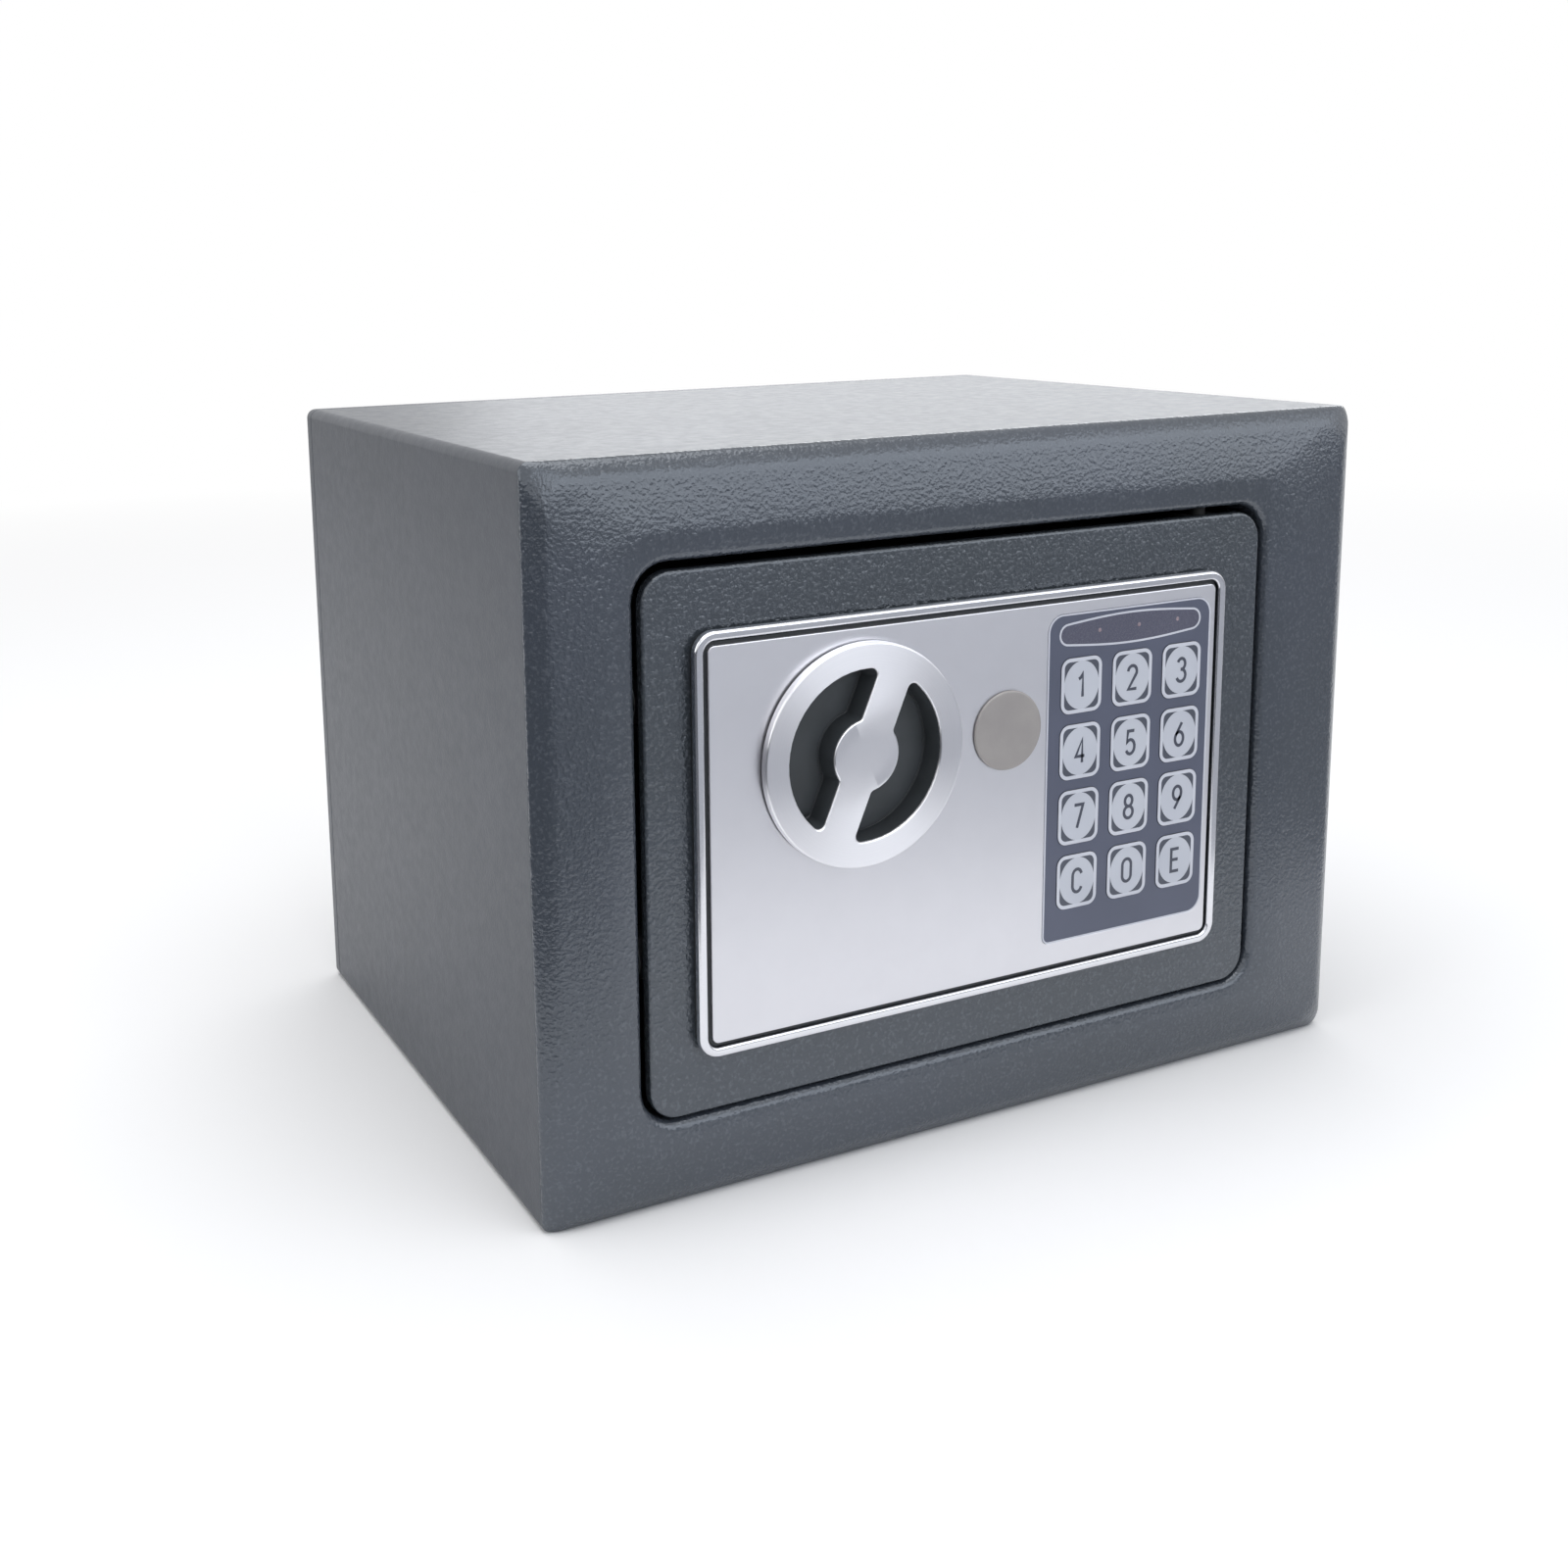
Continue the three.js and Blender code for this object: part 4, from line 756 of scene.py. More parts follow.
def buildFacePlate():
    box, pad = cad("face_plate"), cad("keypad_overlay")
    y0, y1 = box[2:4]
    edge, gap = door["plateEdge"], door["padGap"]
    hole = holeRound(edge, 3, y0) + [(0, y1)]
    padCorners = [radius + gap for radius in door["padCorners"]]
    parts = [
        (grownRect(box, 0, door["plateCorner"], 6), quarterRound(edge, 3, y0) + [(0, y1)], True),
        (circle(*knobCentre, door["well"]), hole, True),
        (circle(*capCentre, door["lockHole"], 64), hole, True),
        (grownRect(pad, gap, padCorners), hole, True),
    ]
    place(platePiece("facePlate", parts, "satinPlate"), "door", "satin_plate", "face_plate")


buildDoorPlate()
buildBezel()
buildFacePlate()
dressed("panel_base", "panelBase", "darkPlastic", "door", "dark_plastic", 0)
# the hinge's zinc steel knuckles and pins are painted near black: painted shade for the gap they show through
for side in ("upper", "lower"):
    dressed(f"hinge_knuckle_{side}", f"hingeKnuckle_{side}", "gapShadeSteel", "door", "zinc_steel", 0.5)
    dressed(f"hinge_pin_{side}", f"hingePin_{side}", "gapShadeSteel", "door", "zinc_steel", 0.4)
print("door and panel built")


# Turn knob and the cap over the emergency lock
knob = {
    "edge": 0.5,
    "sheet": 0.6,
    "rim": 0.4,
    "seatGap": 0.35,
    "pocket": 20,
    "hub": 8.5,
    "bar": 9,
    "tilt": 23,
    "corner": 1.6,
    "cornerShare": 0.3,  # how much of an inset the corners give up
    "leastCorner": 0.4,
    "neck": 1.3,
    "shorter": (0.04, 0.05),  # how far a pocket's outer and inner arc stop short, in radians
    "cupFloor": 5.5,
    "cupRadius": 22,
    "wallGap": 0.06,  # between the pocket's wall and the bright sheet's hole
    "wallBend": 2.5,
    "draft": 0.7,
    "footGroove": (0.45, 0.35),  # width and depth of the line round each pocket's floor
}
keyCap = {
    "thick": 0.7,
    "undercut": 0.35,
    "stemInset": 5.6,
    "stemEdge": 0.3,
    # inset and depth from the front
    "edge": [(1.2, 0), (0.5, 0.03), (0.22, 0.1), (0.06, 0.22), (0, 0.36), (0.3, 0.44)],
}


def pocketOutline(way, steps=20):
    x, z = knobCentre
    turn = math.radians(knob["tilt"]) + (0 if way > 0 else math.pi)

    def outline(inset=0.0):
        outer, inner = knob["pocket"] - inset, knob["hub"] + inset
        half, neck = knob["bar"] / 2 + inset, knob["neck"]
        radius = max(knob["corner"] - knob["cornerShare"] * inset, knob["leastCorner"])
        outerShort, innerShort = knob["shorter"]
        points = []

        def arc(run, across, size, first, last, count):
            for i in range(count + 1):
                a = first + (last - first) * i / count
                u, v = run + size * math.cos(a), across + size * math.sin(a)
                points.append((x + u * math.sin(turn) + v * math.cos(turn),
                               z + u * math.cos(turn) - v * math.sin(turn)))

        side = half + radius
        run = math.sqrt((outer - radius) ** 2 - side ** 2)
        start = math.atan2(side, run)
        neckRun = math.sqrt((inner + neck) ** 2 - (half + neck) ** 2)
        bend = math.atan2(half + neck, neckRun)
        arc(run, side, radius, -math.pi / 2, start, 6)
        # the long arcs stop a little short, so that no two points fall together
        arc(0, 0, outer, start + outerShort, math.pi - start - outerShort, steps)
        arc(-run, side, radius, math.pi - start, 1.5 * math.pi, 6)
        arc(-neckRun, half + neck, neck, 1.5 * math.pi, 2 * math.pi - bend, 4)
        arc(0, 0, inner, math.pi - bend - innerShort, bend + innerShort, steps)
        arc(neckRun, half + neck, neck, math.pi + bend, 1.5 * math.pi, 4)
        return points
    return outline


def buildKnob():
    x0, x1, y0, y1 = knobBox[:4]
    s = knob
    sheet, seat = s["sheet"], y1 - s["seatGap"]
    sheetRear = y0 + sheet
    skirt = quarterRound(s["edge"], 5, y0) + [(0, seat), (sheet, seat), (sheet, sheetRear)]
    hole = holeRound(s["rim"], 3, y0) + [(0, sheetRear)]
    pockets = [pocketOutline(1), pocketOutline(-1)]
    face = platePiece("knobFace", [(circle(*knobCentre, (x1 - x0) / 2, 128), skirt, True),
                                   *((pocket, hole, True) for pocket in pockets)], "satinKnob")
    place(face, "knob", "satin_knob", "knob_face")
    c = cad("knob_cup")
    radius = (c[1] - c[0]) / 2
    step = radius - s["cupRadius"]
    floor = y0 + s["cupFloor"]
    wide, deep = s["footGroove"]
    foot, gap = s["draft"], s["wallGap"]
    wall = [(gap, c[2]), (gap + 0.5 * foot, floor - s["wallBend"]), (foot, floor + 0.6 * deep),
            (foot + 0.3 * wide, floor + deep), (foot + 0.7 * wide, floor + deep),
            (foot + wide, floor + 0.3 * deep), (foot + 1.3 * wide, floor)]
    body = [(0, c[2]), (0, y1), (step, y1), (step, c[3])]
    cup = platePiece("knobCup", [(circle(*knobCentre, radius), body, True),
                                 *((pocket, wall, False) for pocket in pockets)], "cupPlastic", 30)
    place(cup, "knob", "dark_plastic", "knob_cup")


def buildKeyCap():
    x0, x1, y0, y1 = capBox[:4]
    s = keyCap
    radius = (x1 - x0) / 2
    rear, stem, stemEdge = y0 + s["thick"], radius - s["stemInset"], s["stemEdge"]
    profile = [(inset, y0 + depth) for inset, depth in s["edge"]]
    profile += [(s["undercut"], rear), (stem, rear), (stem, y1 - stemEdge), (stem + stemEdge, y1)]
    cap = platePiece("keyCap", [(circle(*capCentre, radius), profile, True)], "capMetal")
    place(cap, "cap", "cap_metal", "key_cap")


buildKnob()
buildKeyCap()
dressed("knob_shaft", "knobShaft", "zincSteel", "knob", "zinc_steel", 0.3)
dressed("knob_crank", "knobCrank", "zincSteel", "knob", "zinc_steel", 0.2)
print("knob and cap built")


# Keypad: a printed film with a lamp window, and twelve keys
keypad = {
    "rows": ["123", "456", "789", "C0E"],
    "keyWidth": 12.1,
    "keyHeight": 13.6,
    "keyCorner": 2.5,
    "keyGap": 0.12,  # between a key and the film round it
    "ring": 0.9,
    "print": 0.03,  # how far the ink stands up
    "inkRoot": 0.02,  # and reaches into the key
    "discRise": 0.015,
    "discGrow": 0.1,
    "keySeat": 85.95,  # the front of the keys' flanges, forwards of the origin
    "flange": 0.7,
    "flangeCorner": 0.4,
    "stemRadius": 2,
    "glyphHeight": 6.6,
    "glyphWidth": 3.5,
    "stroke": 0.8,
    "strokeRise": 0.004,  # each further stroke lies this much over the last
    "padLine": (0.27, -0.12),  # the silver line's outer and inner side, from the pad's edge
    "windowWidth": 43.6,
    "windowEnds": 5.5,
    "windowMiddle": 7.9,
    "windowLine": 0.5,
    "lamps": (30.0, 41.9, 54.1),
    "lampHeight": 120.7,
    "lampRadius": 0.5,
    "lampLift": 0.2,  # the row of lamps lies this much over the window's middle line
    "lampRise": 0.1,  # and climbs this much from lamp to lamp
    "filmSink": 0.02,
    "filmEdge": [(-0.1, 0.02), (-0.12, 0.1)],  # inset and depth from the pad's front
    # where each print starts and ends, in mm behind the pad's front
    "prints": {"edge": (-0.01, 0.3), "window": (0.005, 0.1), "line": (-0.02, 0.1)},
    "windowInset": 0.1,
}


def arcPoints(x, y, across, up, first, last, count=12):
    return [(x + across * math.cos(math.radians(first + (last - first) * i / count)),
             y + up * math.sin(math.radians(first + (last - first) * i / count))) for i in range(count + 1)]


def glyphStrokes(letter):
    # strokes on a field 1 wide and 2 high, the middle of the line
    w, h = 1.0, 2.0
    shapes = {
        "1": [[(0.18, 1.52), (0.42, 1.66), (0.62, h), (0.62, 0)]],
        "2": [arcPoints(0.5, 1.48, 0.5, 0.52, 172, -18, 14) + [(0.80, 1.06), (0.06, 0), (w, 0)]],
        "3": [arcPoints(0.48, 1.52, 0.44, 0.48, 158, -84, 12) + [(0.40, 1.05)],
              [(0.40, 1.05)] + arcPoints(0.46, 0.53, 0.52, 0.53, 84, -160, 14)],
        "4": [[(0.74, 0), (0.74, h), (0.02, 0.56), (w, 0.56)]],
        "5": [[(0.92, h), (0.20, h), (0.10, 1.02)] + arcPoints(0.48, 0.62, 0.50, 0.62, 128, -152, 14)],
        "6": [[(0.78, h), (0.16, 1.02)] + arcPoints(0.5, 0.60, 0.48, 0.60, 150, 505, 24)],
        "7": [[(0.04, h), (w, h), (0.36, 0)]],
        "8": [arcPoints(0.5, 1.52, 0.42, 0.48, -90, 270, 24), arcPoints(0.5, 0.52, 0.5, 0.52, 90, 450, 24)],
        "9": [[(0.22, 0), (0.84, 0.98)] + arcPoints(0.5, 1.40, 0.48, 0.60, -30, 325, 24)],
        "0": [arcPoints(0.5, 1.46, 0.5, 0.54, 0, 180, 14)
              + arcPoints(0.5, 0.54, 0.5, 0.54, 180, 360, 14) + [(1.0, 1.46)]],
        "C": [arcPoints(0.52, 1.44, 0.50, 0.56, 14, 180, 14)
              + arcPoints(0.52, 0.56, 0.50, 0.56, 180, 346, 14)],
        "E": [[(0.94, h), (0.06, h), (0.06, 0), (0.96, 0)], [(0.06, 1.04), (0.86, 1.04)]],
    }
    return shapes[letter]


def strokeMesh(bm, points, width, front, depth):
    # a flat line of even width through points, standing depth off the face at front
    half = width / 2
    sides = []
    for i, (x, z) in enumerate(points):
        before = Vector(points[max(i - 1, 0)])
        after = Vector(points[min(i + 1, len(points) - 1)])
        here = Vector((x, z))
        first = (here - before).normalized() if i else (after - here).normalized()
        last = (after - here).normalized() if i < len(points) - 1 else first
        between = first + last
        between = between.normalized() if between.length > 0.05 else first
        normal = Vector((-between.y, between.x))
        mitre = min(1 / max(normal.dot(Vector((-first.y, first.x))), 0.4), 1.6)
        sides.append((here + normal * half * mitre, here - normal * half * mitre))
    rows = []
    for left, right in sides:
        rows.append(ringVerts(bm, [(left.x, front, left.y), (left.x, front - depth, left.y),
                                   (right.x, front - depth, right.y), (right.x, front, right.y)]))
    for near, far in zip(rows, rows[1:]):
        for i in range(4):
            j = (i + 1) % 4
            bm.faces.new((near[i], far[i], far[j], near[j]))
    bm.faces.new(rows[0])
    bm.faces.new(rows[-1][::-1])


def glyphPiece(letter, x, z, front):
    s = keypad
    bm = bmesh.new()
    width, height = s["glyphWidth"] - s["stroke"], s["glyphHeight"] - s["stroke"]
    root = s["inkRoot"]
    for k, stroke in enumerate(glyphStrokes(letter)):
        points = [(x + (u - 0.5) * width, z + (v - 1) * height / 2) for u, v in stroke]
        strokeMesh(bm, points, s["stroke"], front + root, s["print"] + root + s["strokeRise"] * k)
    return finishMesh(meshFrom(bm, "glyph"), f"glyph_{letter}", "digitInk", 20)


# Geometry Nodes
def newTree(name, lengths, others=()):
    # lengths in mm by name, and others as name, kind and value
    tree = bpy.data.node_groups.new(name, "GeometryNodeTree")
    tree.is_modifier = True
    sockets = [(key, "NodeSocketFloat", value * mm) for key, value in lengths.items()]
    for socketName, kind, value in [*sockets, *others]:
        tree.interface.new_socket(socketName, in_out="INPUT", socket_type=kind).default_value = value
    tree.interface.new_socket("Geometry", in_out="OUTPUT", socket_type="NodeSocketGeometry")
    entry = tree.nodes.new("NodeGroupInput")
    leave = tree.nodes.new("NodeGroupOutput")
    return tree, entry.outputs, leave.inputs[0]


def runTree(tree, name, values):
    piece = addObject(name, bpy.data.meshes.new(name))
    modifier = piece.modifiers.new(name, "NODES")
    modifier.node_group = tree
    sockets = {item.name: item.identifier for item in tree.interface.items_tree
               if item.item_type == "SOCKET" and item.in_out == "INPUT"}
    for key, value in values.items():
        modifier[sockets[key]] = value
    bpy.context.view_layer.update()
    return bake(piece)


def filletedFace(tree, width, height, radius, segments=6):
    box = put(tree, "GeometryNodeCurvePrimitiveQuadrilateral", {"Width": width, "Height": height}).outputs[0]
    fillet = put(tree, "GeometryNodeFilletCurve", {"Curve": box, "Radius": radius, "Count": segments,
                                                   "Limit Radius": True}, mode="POLY")
    return fillet.outputs[0]


def triple(tree, x=0.0, y=0.0, z=0.0):
    return put(tree, "ShaderNodeCombineXYZ", {0: x, 1: y, 2: z}).outputs[0]


def moved(tree, geometry, shift=None, turn=None, size=None):
    inputs = {"Geometry": geometry}
    for name, value in (("Translation", shift), ("Rotation", turn), ("Scale", size)):
        if value is not None:
            inputs[name] = value
    return put(tree, "GeometryNodeTransform", inputs).outputs[0]


def together(tree, parts):
    both = put(tree, "GeometryNodeJoinGeometry")
    for part in parts:
        tree.links.new(part, both.inputs[0])
    return both.outputs[0]


def painted(tree, geometry, finish):
    return put(tree, "GeometryNodeSetMaterial", {"Geometry": geometry, "Material": paint[finish]}).outputs[0]


def raised(tree, curves, low, high, finish):
    # fills the curves and gives the face a thickness from low up to high
    face = put(tree, "GeometryNodeFillCurve", {"Curve": curves}, mode="NGONS").outputs[0]
    face = moved(tree, face, triple(tree, z=low))
    thick = put(tree, "GeometryNodeExtrudeMesh", {
        "Mesh": face, "Offset": (0, 0, 1), "Offset Scale": calc(tree, "SUBTRACT", high, low),
        "Individual": False,
    }, mode="FACES").outputs[0]
    under = put(tree, "GeometryNodeFlipFaces", {"Mesh": face}).outputs[0]
    closed = put(tree, "GeometryNodeMergeByDistance", {
        "Geometry": together(tree, [thick, under]), "Distance": 1e-7}).outputs[0]
    return painted(tree, closed, finish)


def endTree(tree, parts, leave, shift=None, turn=None):
    result = together(tree, parts)
    if shift is not None:
        result = moved(tree, result, shift, turn)
    plain = put(tree, "GeometryNodeRealizeInstances", {"Geometry": result})
    tree.links.new(plain.outputs[0], leave)


def buildKeyTree():
    # a key: flange and stem below, then the cap with its ink: border, corners and disc
    s = keypad
    tree, given, leave = newTree("keyTree", {
        "Width": s["keyWidth"], "Height": s["keyHeight"], "Corner": s["keyCorner"], "Border": s["ring"],
        "Print": s["print"], "Front": 0, "Seat": s["keySeat"], "Flange": s["flange"], "Stem": 0,
    }, [("Centre", "NodeSocketVector", (0, 0, 0))])
    width, height, corner, border = (given[k] for k in ("Width", "Height", "Corner", "Border"))
    front, seat, flange = given["Front"], given["Seat"], given["Flange"]
    ink = calc(tree, "ADD", front, given["Print"])
    inkRoot = calc(tree, "SUBTRACT", front, s["inkRoot"] * mm)
    doubleBorder = calc(tree, "MULTIPLY", border, 2)
    innerSize = [calc(tree, "SUBTRACT", value, doubleBorder) for value in (width, height)]
    outline = filletedFace(tree, width, height, corner)
    window = filletedFace(tree, *innerSize, calc(tree, "SUBTRACT", corner, border))
    cap = raised(tree, outline, seat, front, "cornerInk")
    ring = raised(tree, together(tree, [outline, window]), inkRoot, ink, "silverInk")
    unit = put(tree, "GeometryNodeCurvePrimitiveCircle", {"Resolution": 64, "Radius": 0.5}).outputs[0]
    discSize = [calc(tree, "ADD", value, s["discGrow"] * mm) for value in innerSize]
    oval = moved(tree, unit, size=triple(tree, *discSize, 1.0))
    disc = raised(tree, oval, inkRoot, calc(tree, "ADD", ink, s["discRise"] * mm), "discInk")
    doubleFlange = calc(tree, "MULTIPLY", flange, 2)
    flangeSize = [calc(tree, "ADD", value, doubleFlange) for value in (width, height)]
    under = calc(tree, "SUBTRACT", seat, flange)
    foot = filletedFace(tree, *flangeSize, s["flangeCorner"] * mm, 2)
    plate = raised(tree, foot, under, seat, "darkPlastic")
    pin = put(tree, "GeometryNodeCurvePrimitiveCircle", {
        "Resolution": 24, "Radius": s["stemRadius"] * mm}).outputs[0]
    stem = raised(tree, pin, given["Stem"], under, "darkPlastic")
    endTree(tree, [cap, ring, disc, plate, stem], leave, given["Centre"], (math.pi / 2, 0, 0))
    return tree


def buildKeys():
    tree = buildKeyTree()
    for letter in "".join(keypad["rows"]):
        node = f"key_{letter.lower()}"
        box = cad(node)
        x, z = middle(box)
        base = runTree(tree, f"keyCap_{letter}", {
            "Front": -box[2] * mm, "Stem": -box[3] * mm, "Centre": (x * mm, 0, z * mm)})
        glyph = glyphPiece(letter, x, z, box[2] - keypad["print"] - keypad["discRise"])
        place(joined(f"key_{letter}_piece", [base, glyph]), f"button_{letter.lower()}", "key_film", node)


def windowOutline(endSteps=12, bowSteps=24):
    s = keypad
    x = middle(cad("keypad_overlay"))[0]
    z, end = s["lampHeight"], s["windowEnds"] / 2
    reach = s["windowWidth"] / 2 - end
    bulge = (s["windowMiddle"] - s["windowEnds"]) / 2

    def outline(inset=0.0):
        points = []
        size = end - inset
        for way, start in ((1, 0.5), (-1, 1.5)):
            for i in range(endSteps + 1):
                a = math.pi * (start - i / endSteps)
                points.append((x + way * reach + size * math.cos(a), z + size * math.sin(a)))
            for i in range(1, bowSteps):
                u = way * reach * (1 - 2 * i / bowSteps)
                points.append((x + u, z - way * (size + bulge * math.cos(math.pi * u / (2 * reach)))))
        return points
    return outline


def buildLampTree():
    s = keypad
    tree, given, leave = newTree("lampTree", {"Radius": s["lampRadius"]}, [
        ("Count", "NodeSocketInt", len(s["lamps"])), ("Start", "NodeSocketVector", (0, 0, 0)),
        ("Step", "NodeSocketVector", (0, 0, 0)),
    ])
    line = put(tree, "GeometryNodeMeshLine", {
        "Count": given["Count"], "Start Location": given["Start"], "Offset": given["Step"]}).outputs[0]
    ball = put(tree, "GeometryNodeMeshUVSphere", {
        "Segments": 20, "Rings": 10, "Radius": given["Radius"]}).outputs[0]
    lens = moved(tree, ball, size=(1, 0.12, 1))
    several = put(tree, "GeometryNodeInstanceOnPoints", {"Points": line, "Instance": lens}).outputs[0]
    endTree(tree, [painted(tree, several, "lens")], leave)
    return tree


def buildOverlay():
    s = keypad
    box = cad("keypad_overlay")
    y0, y1 = box[2:4]
    corners = door["padCorners"]
    rim = [(inset, y0 + depth) for inset, depth in s["filmEdge"]]
    parts = [(grownRect(box, 0, corners, 10), [*rim, (rim[-1][0], y1)], True)]
    gap = s["keyGap"]
    w, h = s["keyWidth"] / 2 + gap, s["keyHeight"] / 2 + gap
    for letter in "".join(s["rows"]):
        x, z = middle(cad(f"key_{letter.lower()}"))
        hole = roundedRect(x - w, x + w, z - h, z + h, s["keyCorner"] + gap, 6)
        parts.append((hole, [(0, y0 + s["filmSink"]), (0, y1)], True))
    film = platePiece("film", parts, "slateFilm")

    def printed(name, inset=0):
        return [(inset, y0 + depth) for depth in s["prints"][name]]

    outlines = [grownRect(box, grow, [radius + grow for radius in corners], 10) for grow in s["padLine"]]
    edge = platePiece("padEdge", [(outline, printed("edge"), True) for outline in outlines], "silverInk")
    window = platePiece("window", [(windowOutline(), printed("window", s["windowInset"]), True)],
                        "windowFilm")
    frameLine = platePiece("windowLine", [(windowOutline(), printed("line", inset), True)
                                          for inset in (0, s["windowLine"])], "silverInk")
    first, last = s["lamps"][0], s["lamps"][-1]
    lamps = runTree(buildLampTree(), "lamps", {
        "Start": (first * mm, y0 * mm, (s["lampHeight"] + s["lampLift"]) * mm),
        "Step": ((last - first) / 2 * mm, 0, s["lampRise"] * mm)})
    overlay = joined("keypadOverlay", [film, edge, window, frameLine, lamps])
    place(overlay, "door", "keypad_film", "keypad_overlay")


buildOverlay()
buildKeys()
dressed("led_strip", "ledStrip", "lens", "door", "led_lens", 0.1)
dressed("keypad_board", "keypadBoard", "board", "door", "circuit_board", 0.1)
print("keypad built")


# Lock work inside the door
workPieces = [
    # node, name, finish, body, slot, eased edge
    ("bolt_guide", "boltGuide", "zincSteel", "door", "zinc_steel", 0.3),
    ("bolt_carriage", "boltCarriage", "zincSteel", "bolts", "zinc_steel", 0.2),
    ("bolt_upper", "boltUpper", "zincSteel", "bolts", "zinc_steel", 0.25),
    ("bolt_lower", "boltLower", "zincSteel", "bolts", "zinc_steel", 0.25),
    ("solenoid_frame", "solenoidFrame", "zincSteel", "door", "zinc_steel", 0.2),
    ("solenoid_coil", "solenoidCoil", "winding", "door", "copper_winding", 0.3),
    ("solenoid_plunger", "solenoidPlunger", "springSteel", "plunger", "spring_steel", 0.2),
    ("lock_body", "lockBody", "brass", "door", "brass", 0.25),
    ("lock_plug", "lockPlug", "brass", "emergency_lock", "brass", 0.15),
    ("lock_cam", "lockCam", "zincSteel", "emergency_lock", "zinc_steel", 0.2),
    ("inner_cover", "innerCover", "coverPlastic", "door", "dark_plastic", 0.6),
    ("battery_cover", "batteryCover", "coverPlastic", "battery_lid", "dark_plastic", 0.25),
    ("battery_holder", "batteryHolder", "darkPlastic", "door", "dark_plastic", 0.2),
    *((f"battery_{i}", f"battery{count}", "sleeve", "door", "battery_sleeve", 0.15)
      for i, count in enumerate(("One", "Two", "Three", "Four"), 1)),
    ("control_board", "controlBoard", "board", "door", "circuit_board", 0.1),
    ("reset_button", "resetButton", "redPlastic", "reset", "red_plastic", 0.5),
    ("keypad_cable", "keypadCable", "cable", "door", "cable_jacket", 0.1),
]
for piece in workPieces:
    dressed(*piece)


springSet = {"wire": 0.8, "turns": 5, "resolution": 28}


def buildSpring():
    # the return spring: a coil sized to the CAD spring
    x0, x1, y0, y1, z0, z1 = cad("plunger_spring")
    s = springSet
    thick = s["wire"]
    tree, given, leave = newTree("springTree", {
        "Radius": (x1 - x0 - thick) / 2, "Wire": thick / 2, "Height": z1 - z0 - thick,
    }, [("Turns", "NodeSocketFloat", float(s["turns"])), ("Foot", "NodeSocketVector", (0, 0, 0))])
    coil = put(tree, "GeometryNodeCurveSpiral", {
        "Resolution": s["resolution"], "Rotations": given["Turns"], "Start Radius": given["Radius"],
        "End Radius": given["Radius"], "Height": given["Height"]}).outputs[0]
    wire = put(tree, "GeometryNodeCurvePrimitiveCircle", {
        "Resolution": 10, "Radius": given["Wire"]}).outputs[0]
    tube = put(tree, "GeometryNodeCurveToMesh", {
        "Curve": coil, "Profile Curve": wire, "Fill Caps": True}).outputs[0]
    endTree(tree, [painted(tree, tube, "springSteel")], leave, given["Foot"])
    spring = runTree(tree, "plungerSpring", {
        "Foot": ((x0 + x1) / 2 * mm, (y0 + y1) / 2 * mm, (z0 + thick / 2) * mm)})
    spring.data.shade_smooth()
    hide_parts("plunger_spring")
    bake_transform(spring)


screwSizes = {"Head": 3.0, "Rise": 1.6, "Shank": 1.5, "Length": 8.0, "Slot": 0.8, "Reach": 3.8, "Sunk": 0.95}
screwShares = {"rim": 0.45, "shank": -0.45}  # the rim's part of the rise, and where the shank's middle lies


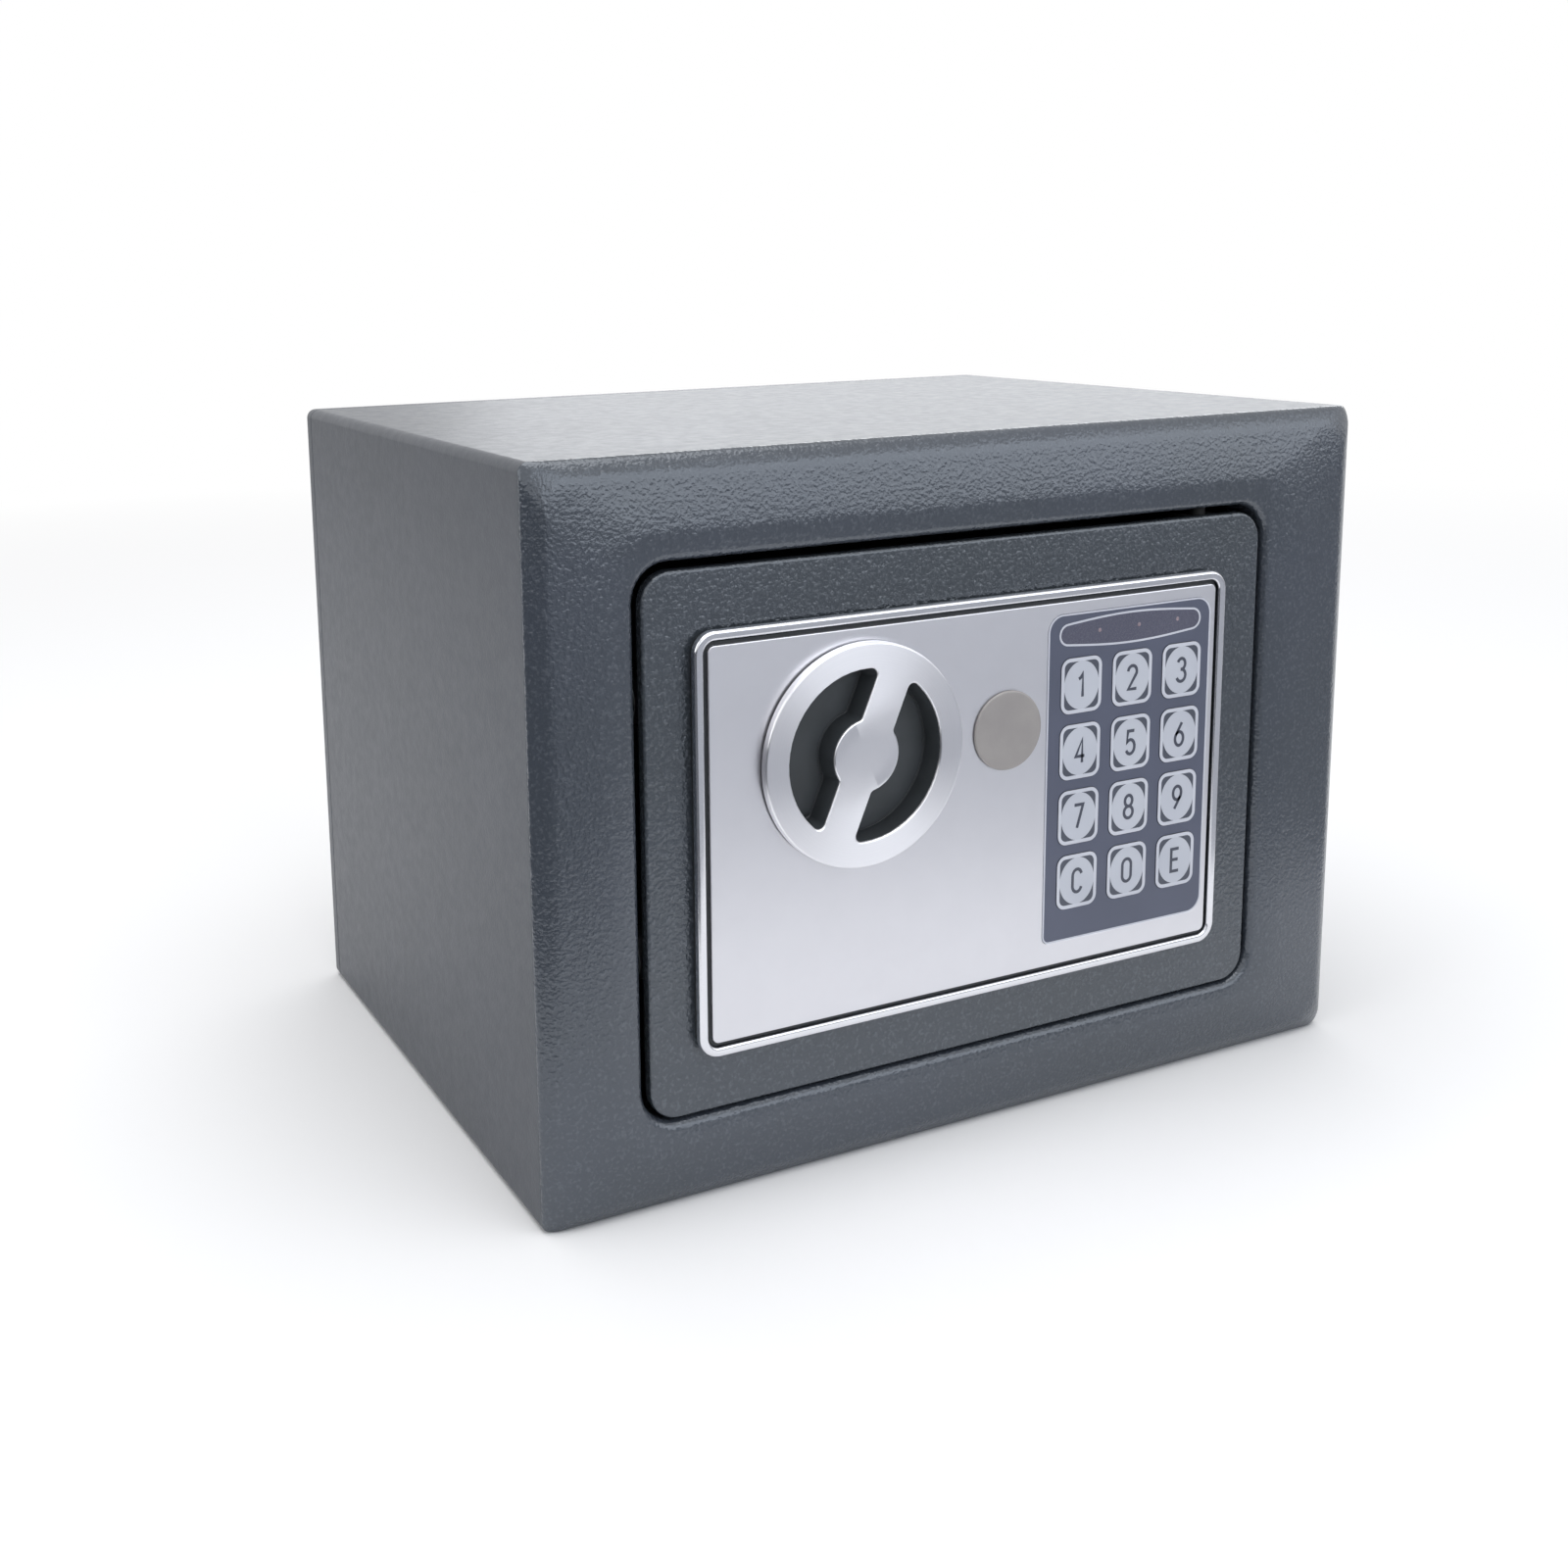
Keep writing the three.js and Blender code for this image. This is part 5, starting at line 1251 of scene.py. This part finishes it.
def buildCoverScrews():
    names = [f"cover_screw_{i}" for i in (1, 2, 3, 4)]
    centres = [middle(cad(name)) for name in names]
    left, right = min(x for x, _ in centres), max(x for x, _ in centres)
    low, high = min(z for _, z in centres), max(z for _, z in centres)
    tree, given, leave = newTree("coverScrewTree", {
        **screwSizes, "Spread X": right - left, "Spread Z": high - low,
    }, [("Centre", "NodeSocketVector", (0, 0, 0))])
    head, rise, slot, reach = (given[k] for k in ("Head", "Rise", "Slot", "Reach"))
    rimHeight = calc(tree, "MULTIPLY", rise, screwShares["rim"])
    rim = put(tree, "GeometryNodeMeshCylinder", {
        "Vertices": 48, "Radius": head, "Depth": rimHeight}, fill_type="NGON").outputs[0]
    rim = moved(tree, rim, triple(tree, z=calc(tree, "MULTIPLY", rimHeight, 0.5)))
    dome = put(tree, "GeometryNodeMeshUVSphere", {"Segments": 48, "Rings": 20, "Radius": 1.0}).outputs[0]
    domeSize = triple(tree, head, head, calc(tree, "SUBTRACT", rise, rimHeight))
    dome = moved(tree, dome, triple(tree, z=rimHeight), size=domeSize)
    bars = []
    for across, up in ((reach, slot), (slot, reach)):
        size = triple(tree, across, up, calc(tree, "MULTIPLY", given["Sunk"], 2))
        bar = put(tree, "GeometryNodeMeshCube", {"Size": size}).outputs[0]
        bars.append(moved(tree, bar, triple(tree, z=rise)))
    shank = put(tree, "GeometryNodeMeshCylinder", {
        "Vertices": 32, "Radius": given["Shank"], "Depth": given["Length"]}, fill_type="NGON").outputs[0]
    shank = moved(tree, shank, triple(tree, z=calc(tree, "MULTIPLY", given["Length"], screwShares["shank"])))
    whole = put(tree, "GeometryNodeMeshBoolean", operation="UNION", solver="EXACT")
    for part in (rim, dome, shank):
        tree.links.new(part, whole.inputs["Mesh 2"])
    slotted = put(tree, "GeometryNodeMeshBoolean", {"Mesh 1": whole.outputs[0]},
                  operation="DIFFERENCE", solver="EXACT")
    for part in bars:
        tree.links.new(part, slotted.inputs["Mesh 2"])
    facing = moved(tree, slotted.outputs[0], turn=(-math.pi / 2, 0, 0))
    grid = put(tree, "GeometryNodeMeshGrid", {
        "Size X": given["Spread X"], "Size Y": given["Spread Z"],
        "Vertices X": 2, "Vertices Y": 2}).outputs[0]
    grid = moved(tree, grid, turn=(math.pi / 2, 0, 0))
    several = put(tree, "GeometryNodeInstanceOnPoints", {"Points": grid, "Instance": facing}).outputs[0]
    endTree(tree, [painted(tree, several, "zincSteel")], leave, given["Centre"])
    seat = cad(names[0])[3] - screwSizes["Rise"]
    screws = runTree(tree, "coverScrews", {
        "Centre": ((left + right) / 2 * mm, seat * mm, (low + high) / 2 * mm)})
    screws.data.shade_smooth()
    screws.data.set_sharp_from_angle(angle=math.radians(30))
    place(screws, "door", "zinc_steel", *names)


buildSpring()
buildCoverScrews()
print("lock work built")


# Studio: pale floor, soft lamps and a plain world
studio = {
    "floorSize": 8,
    "floorTone": (249, 249, 250),
    "nearRadius": 0.45,
    "farRadius": 1.3,
    "ambient": 0.45,
    # two cloths lie round the front of the safe, and only reflections show them
    "clothTones": (("darkCloth", (84, 86, 91)), ("greyCloth", (164, 166, 172))),
    "clothChange": -0.07,  # where across the scene the dark one meets the grey one
    "clothInner": 0.27,
    "clothOuter": 0.9,
    "clothHeight": 0.17,  # they turn up to this height at the outside
    "clothLift": 0.002,
    "clothReach": (-112, 80),  # degrees round from straight ahead
    "clothSteps": 60,
    # name: place, size, watts, colour, aimed at
    "lamps": {
        "overhead": ((-0.15, -0.1, 1.35), (1.6, 1.2), 13.0, (1, 1, 1), (0, 0, 0.1)),
        "leftSoft": ((-1.5, -0.1, 0.75), (1.0, 1.2), 4.0, (0.94, 0.97, 1), (0, 0, 0.1)),
        "frontSoft": ((0.75, -1.55, 0.75), (2.2, 1.2), 11.0, (0.86, 0.92, 1), (0, 0, 0.08)),
        "rearSoft": ((1.35, 1.42, 0.8), (2.0, 0.8), 9.4, (0.95, 0.97, 1), (0, 0, 0.12)),
    },
}


def addFloor():
    s = studio
    mesh = bpy.data.meshes.new("studioFloor")
    half = s["floorSize"] / 2
    corners = [(-half, -half, 0), (half, -half, 0), (half, half, 0), (-half, half, 0)]
    mesh.from_pydata(corners, [], [(0, 1, 2, 3)])
    material, tree, where = startMaterial("paleFloor")
    away = put(tree, "ShaderNodeVectorMath", {0: where}, operation="LENGTH").outputs["Value"]
    fade = spread(tree, away, 0, 1, s["nearRadius"], s["farRadius"])
    path = put(tree, "ShaderNodeLightPath")
    seen = calc(tree, "MULTIPLY", fade, path.outputs["Is Camera Ray"])
    diffuse = put(tree, "ShaderNodeBsdfDiffuse", {"Color": tone(*s["floorTone"])}).outputs[0]
    white = put(tree, "ShaderNodeEmission", {"Color": (1, 1, 1, 1), "Strength": 1.0}).outputs[0]
    mixed = put(tree, "ShaderNodeMixShader", {0: seen, 1: diffuse, 2: white}).outputs[0]
    put(tree, "ShaderNodeOutputMaterial", {0: mixed})
    mesh.materials.append(material)
    addObject("studioFloor", mesh)


def addCloths():
    s = studio
    bm = bmesh.new()
    rails = []
    low, high = s["clothReach"]
    section = [(s["clothInner"], s["clothLift"]), (s["clothOuter"], s["clothLift"]),
               (s["clothOuter"], s["clothHeight"])]
    for i in range(s["clothSteps"] + 1):
        angle = math.radians(low + (high - low) * i / s["clothSteps"])
        side, ahead = math.sin(angle), -math.cos(angle)
        rails.append([bm.verts.new((reach * side, reach * ahead, z)) for reach, z in section])
    for near, far in zip(rails, rails[1:]):
        for k in (0, 1):
            face = bm.faces.new((near[k], far[k], far[k + 1], near[k + 1]))
            face.material_index = int(near[0].co.x > s["clothChange"])
    mesh = meshFrom(bm, "studioFlag", outwards=False)
    for name, shade in s["clothTones"]:
        material, tree, where = startMaterial(name)
        weave = grainNoise(tree, where, 2, 3)
        surface(tree, cloudedTone(tree, weave, shade, [value - 6 for value in shade]), 0.9)
        mesh.materials.append(material)
    cloths = addObject("studioFlag", mesh)
    cloths.visible_camera = cloths.visible_diffuse = cloths.visible_shadow = False


def addLamps():
    for name, (spot, size, watts, colour, aim) in studio["lamps"].items():
        light = bpy.data.lights.new(name, "AREA")
        light.shape = "RECTANGLE"
        light.size, light.size_y = size
        light.energy = watts
        light.color = colour
        lamp = addObject(name, light)
        lamp.location = spot
        lamp.rotation_euler = (Vector(aim) - Vector(spot)).to_track_quat("-Z", "Y").to_euler()


def addWorld():
    world = bpy.data.worlds.new("studioWorld")
    scene.world = world
    world.use_nodes = True
    tree = world.node_tree
    tree.nodes.clear()
    path = put(tree, "ShaderNodeLightPath")
    mirrored = calc(tree, "MAXIMUM", path.outputs["Is Glossy Ray"], path.outputs["Is Transmission Ray"])
    plain = calc(tree, "MAXIMUM", path.outputs["Is Camera Ray"], mirrored)
    dim, bright = (put(tree, "ShaderNodeBackground", {"Color": (1, 1, 1, 1), "Strength": strength}).outputs[0]
                   for strength in (studio["ambient"], 1.0))
    mixed = put(tree, "ShaderNodeMixShader", {0: plain, 1: dim, 2: bright}).outputs[0]
    put(tree, "ShaderNodeOutputWorld", {0: mixed})


addFloor()
addCloths()
addLamps()
addWorld()
scene.view_settings.view_transform = "Standard"
print("studio set")
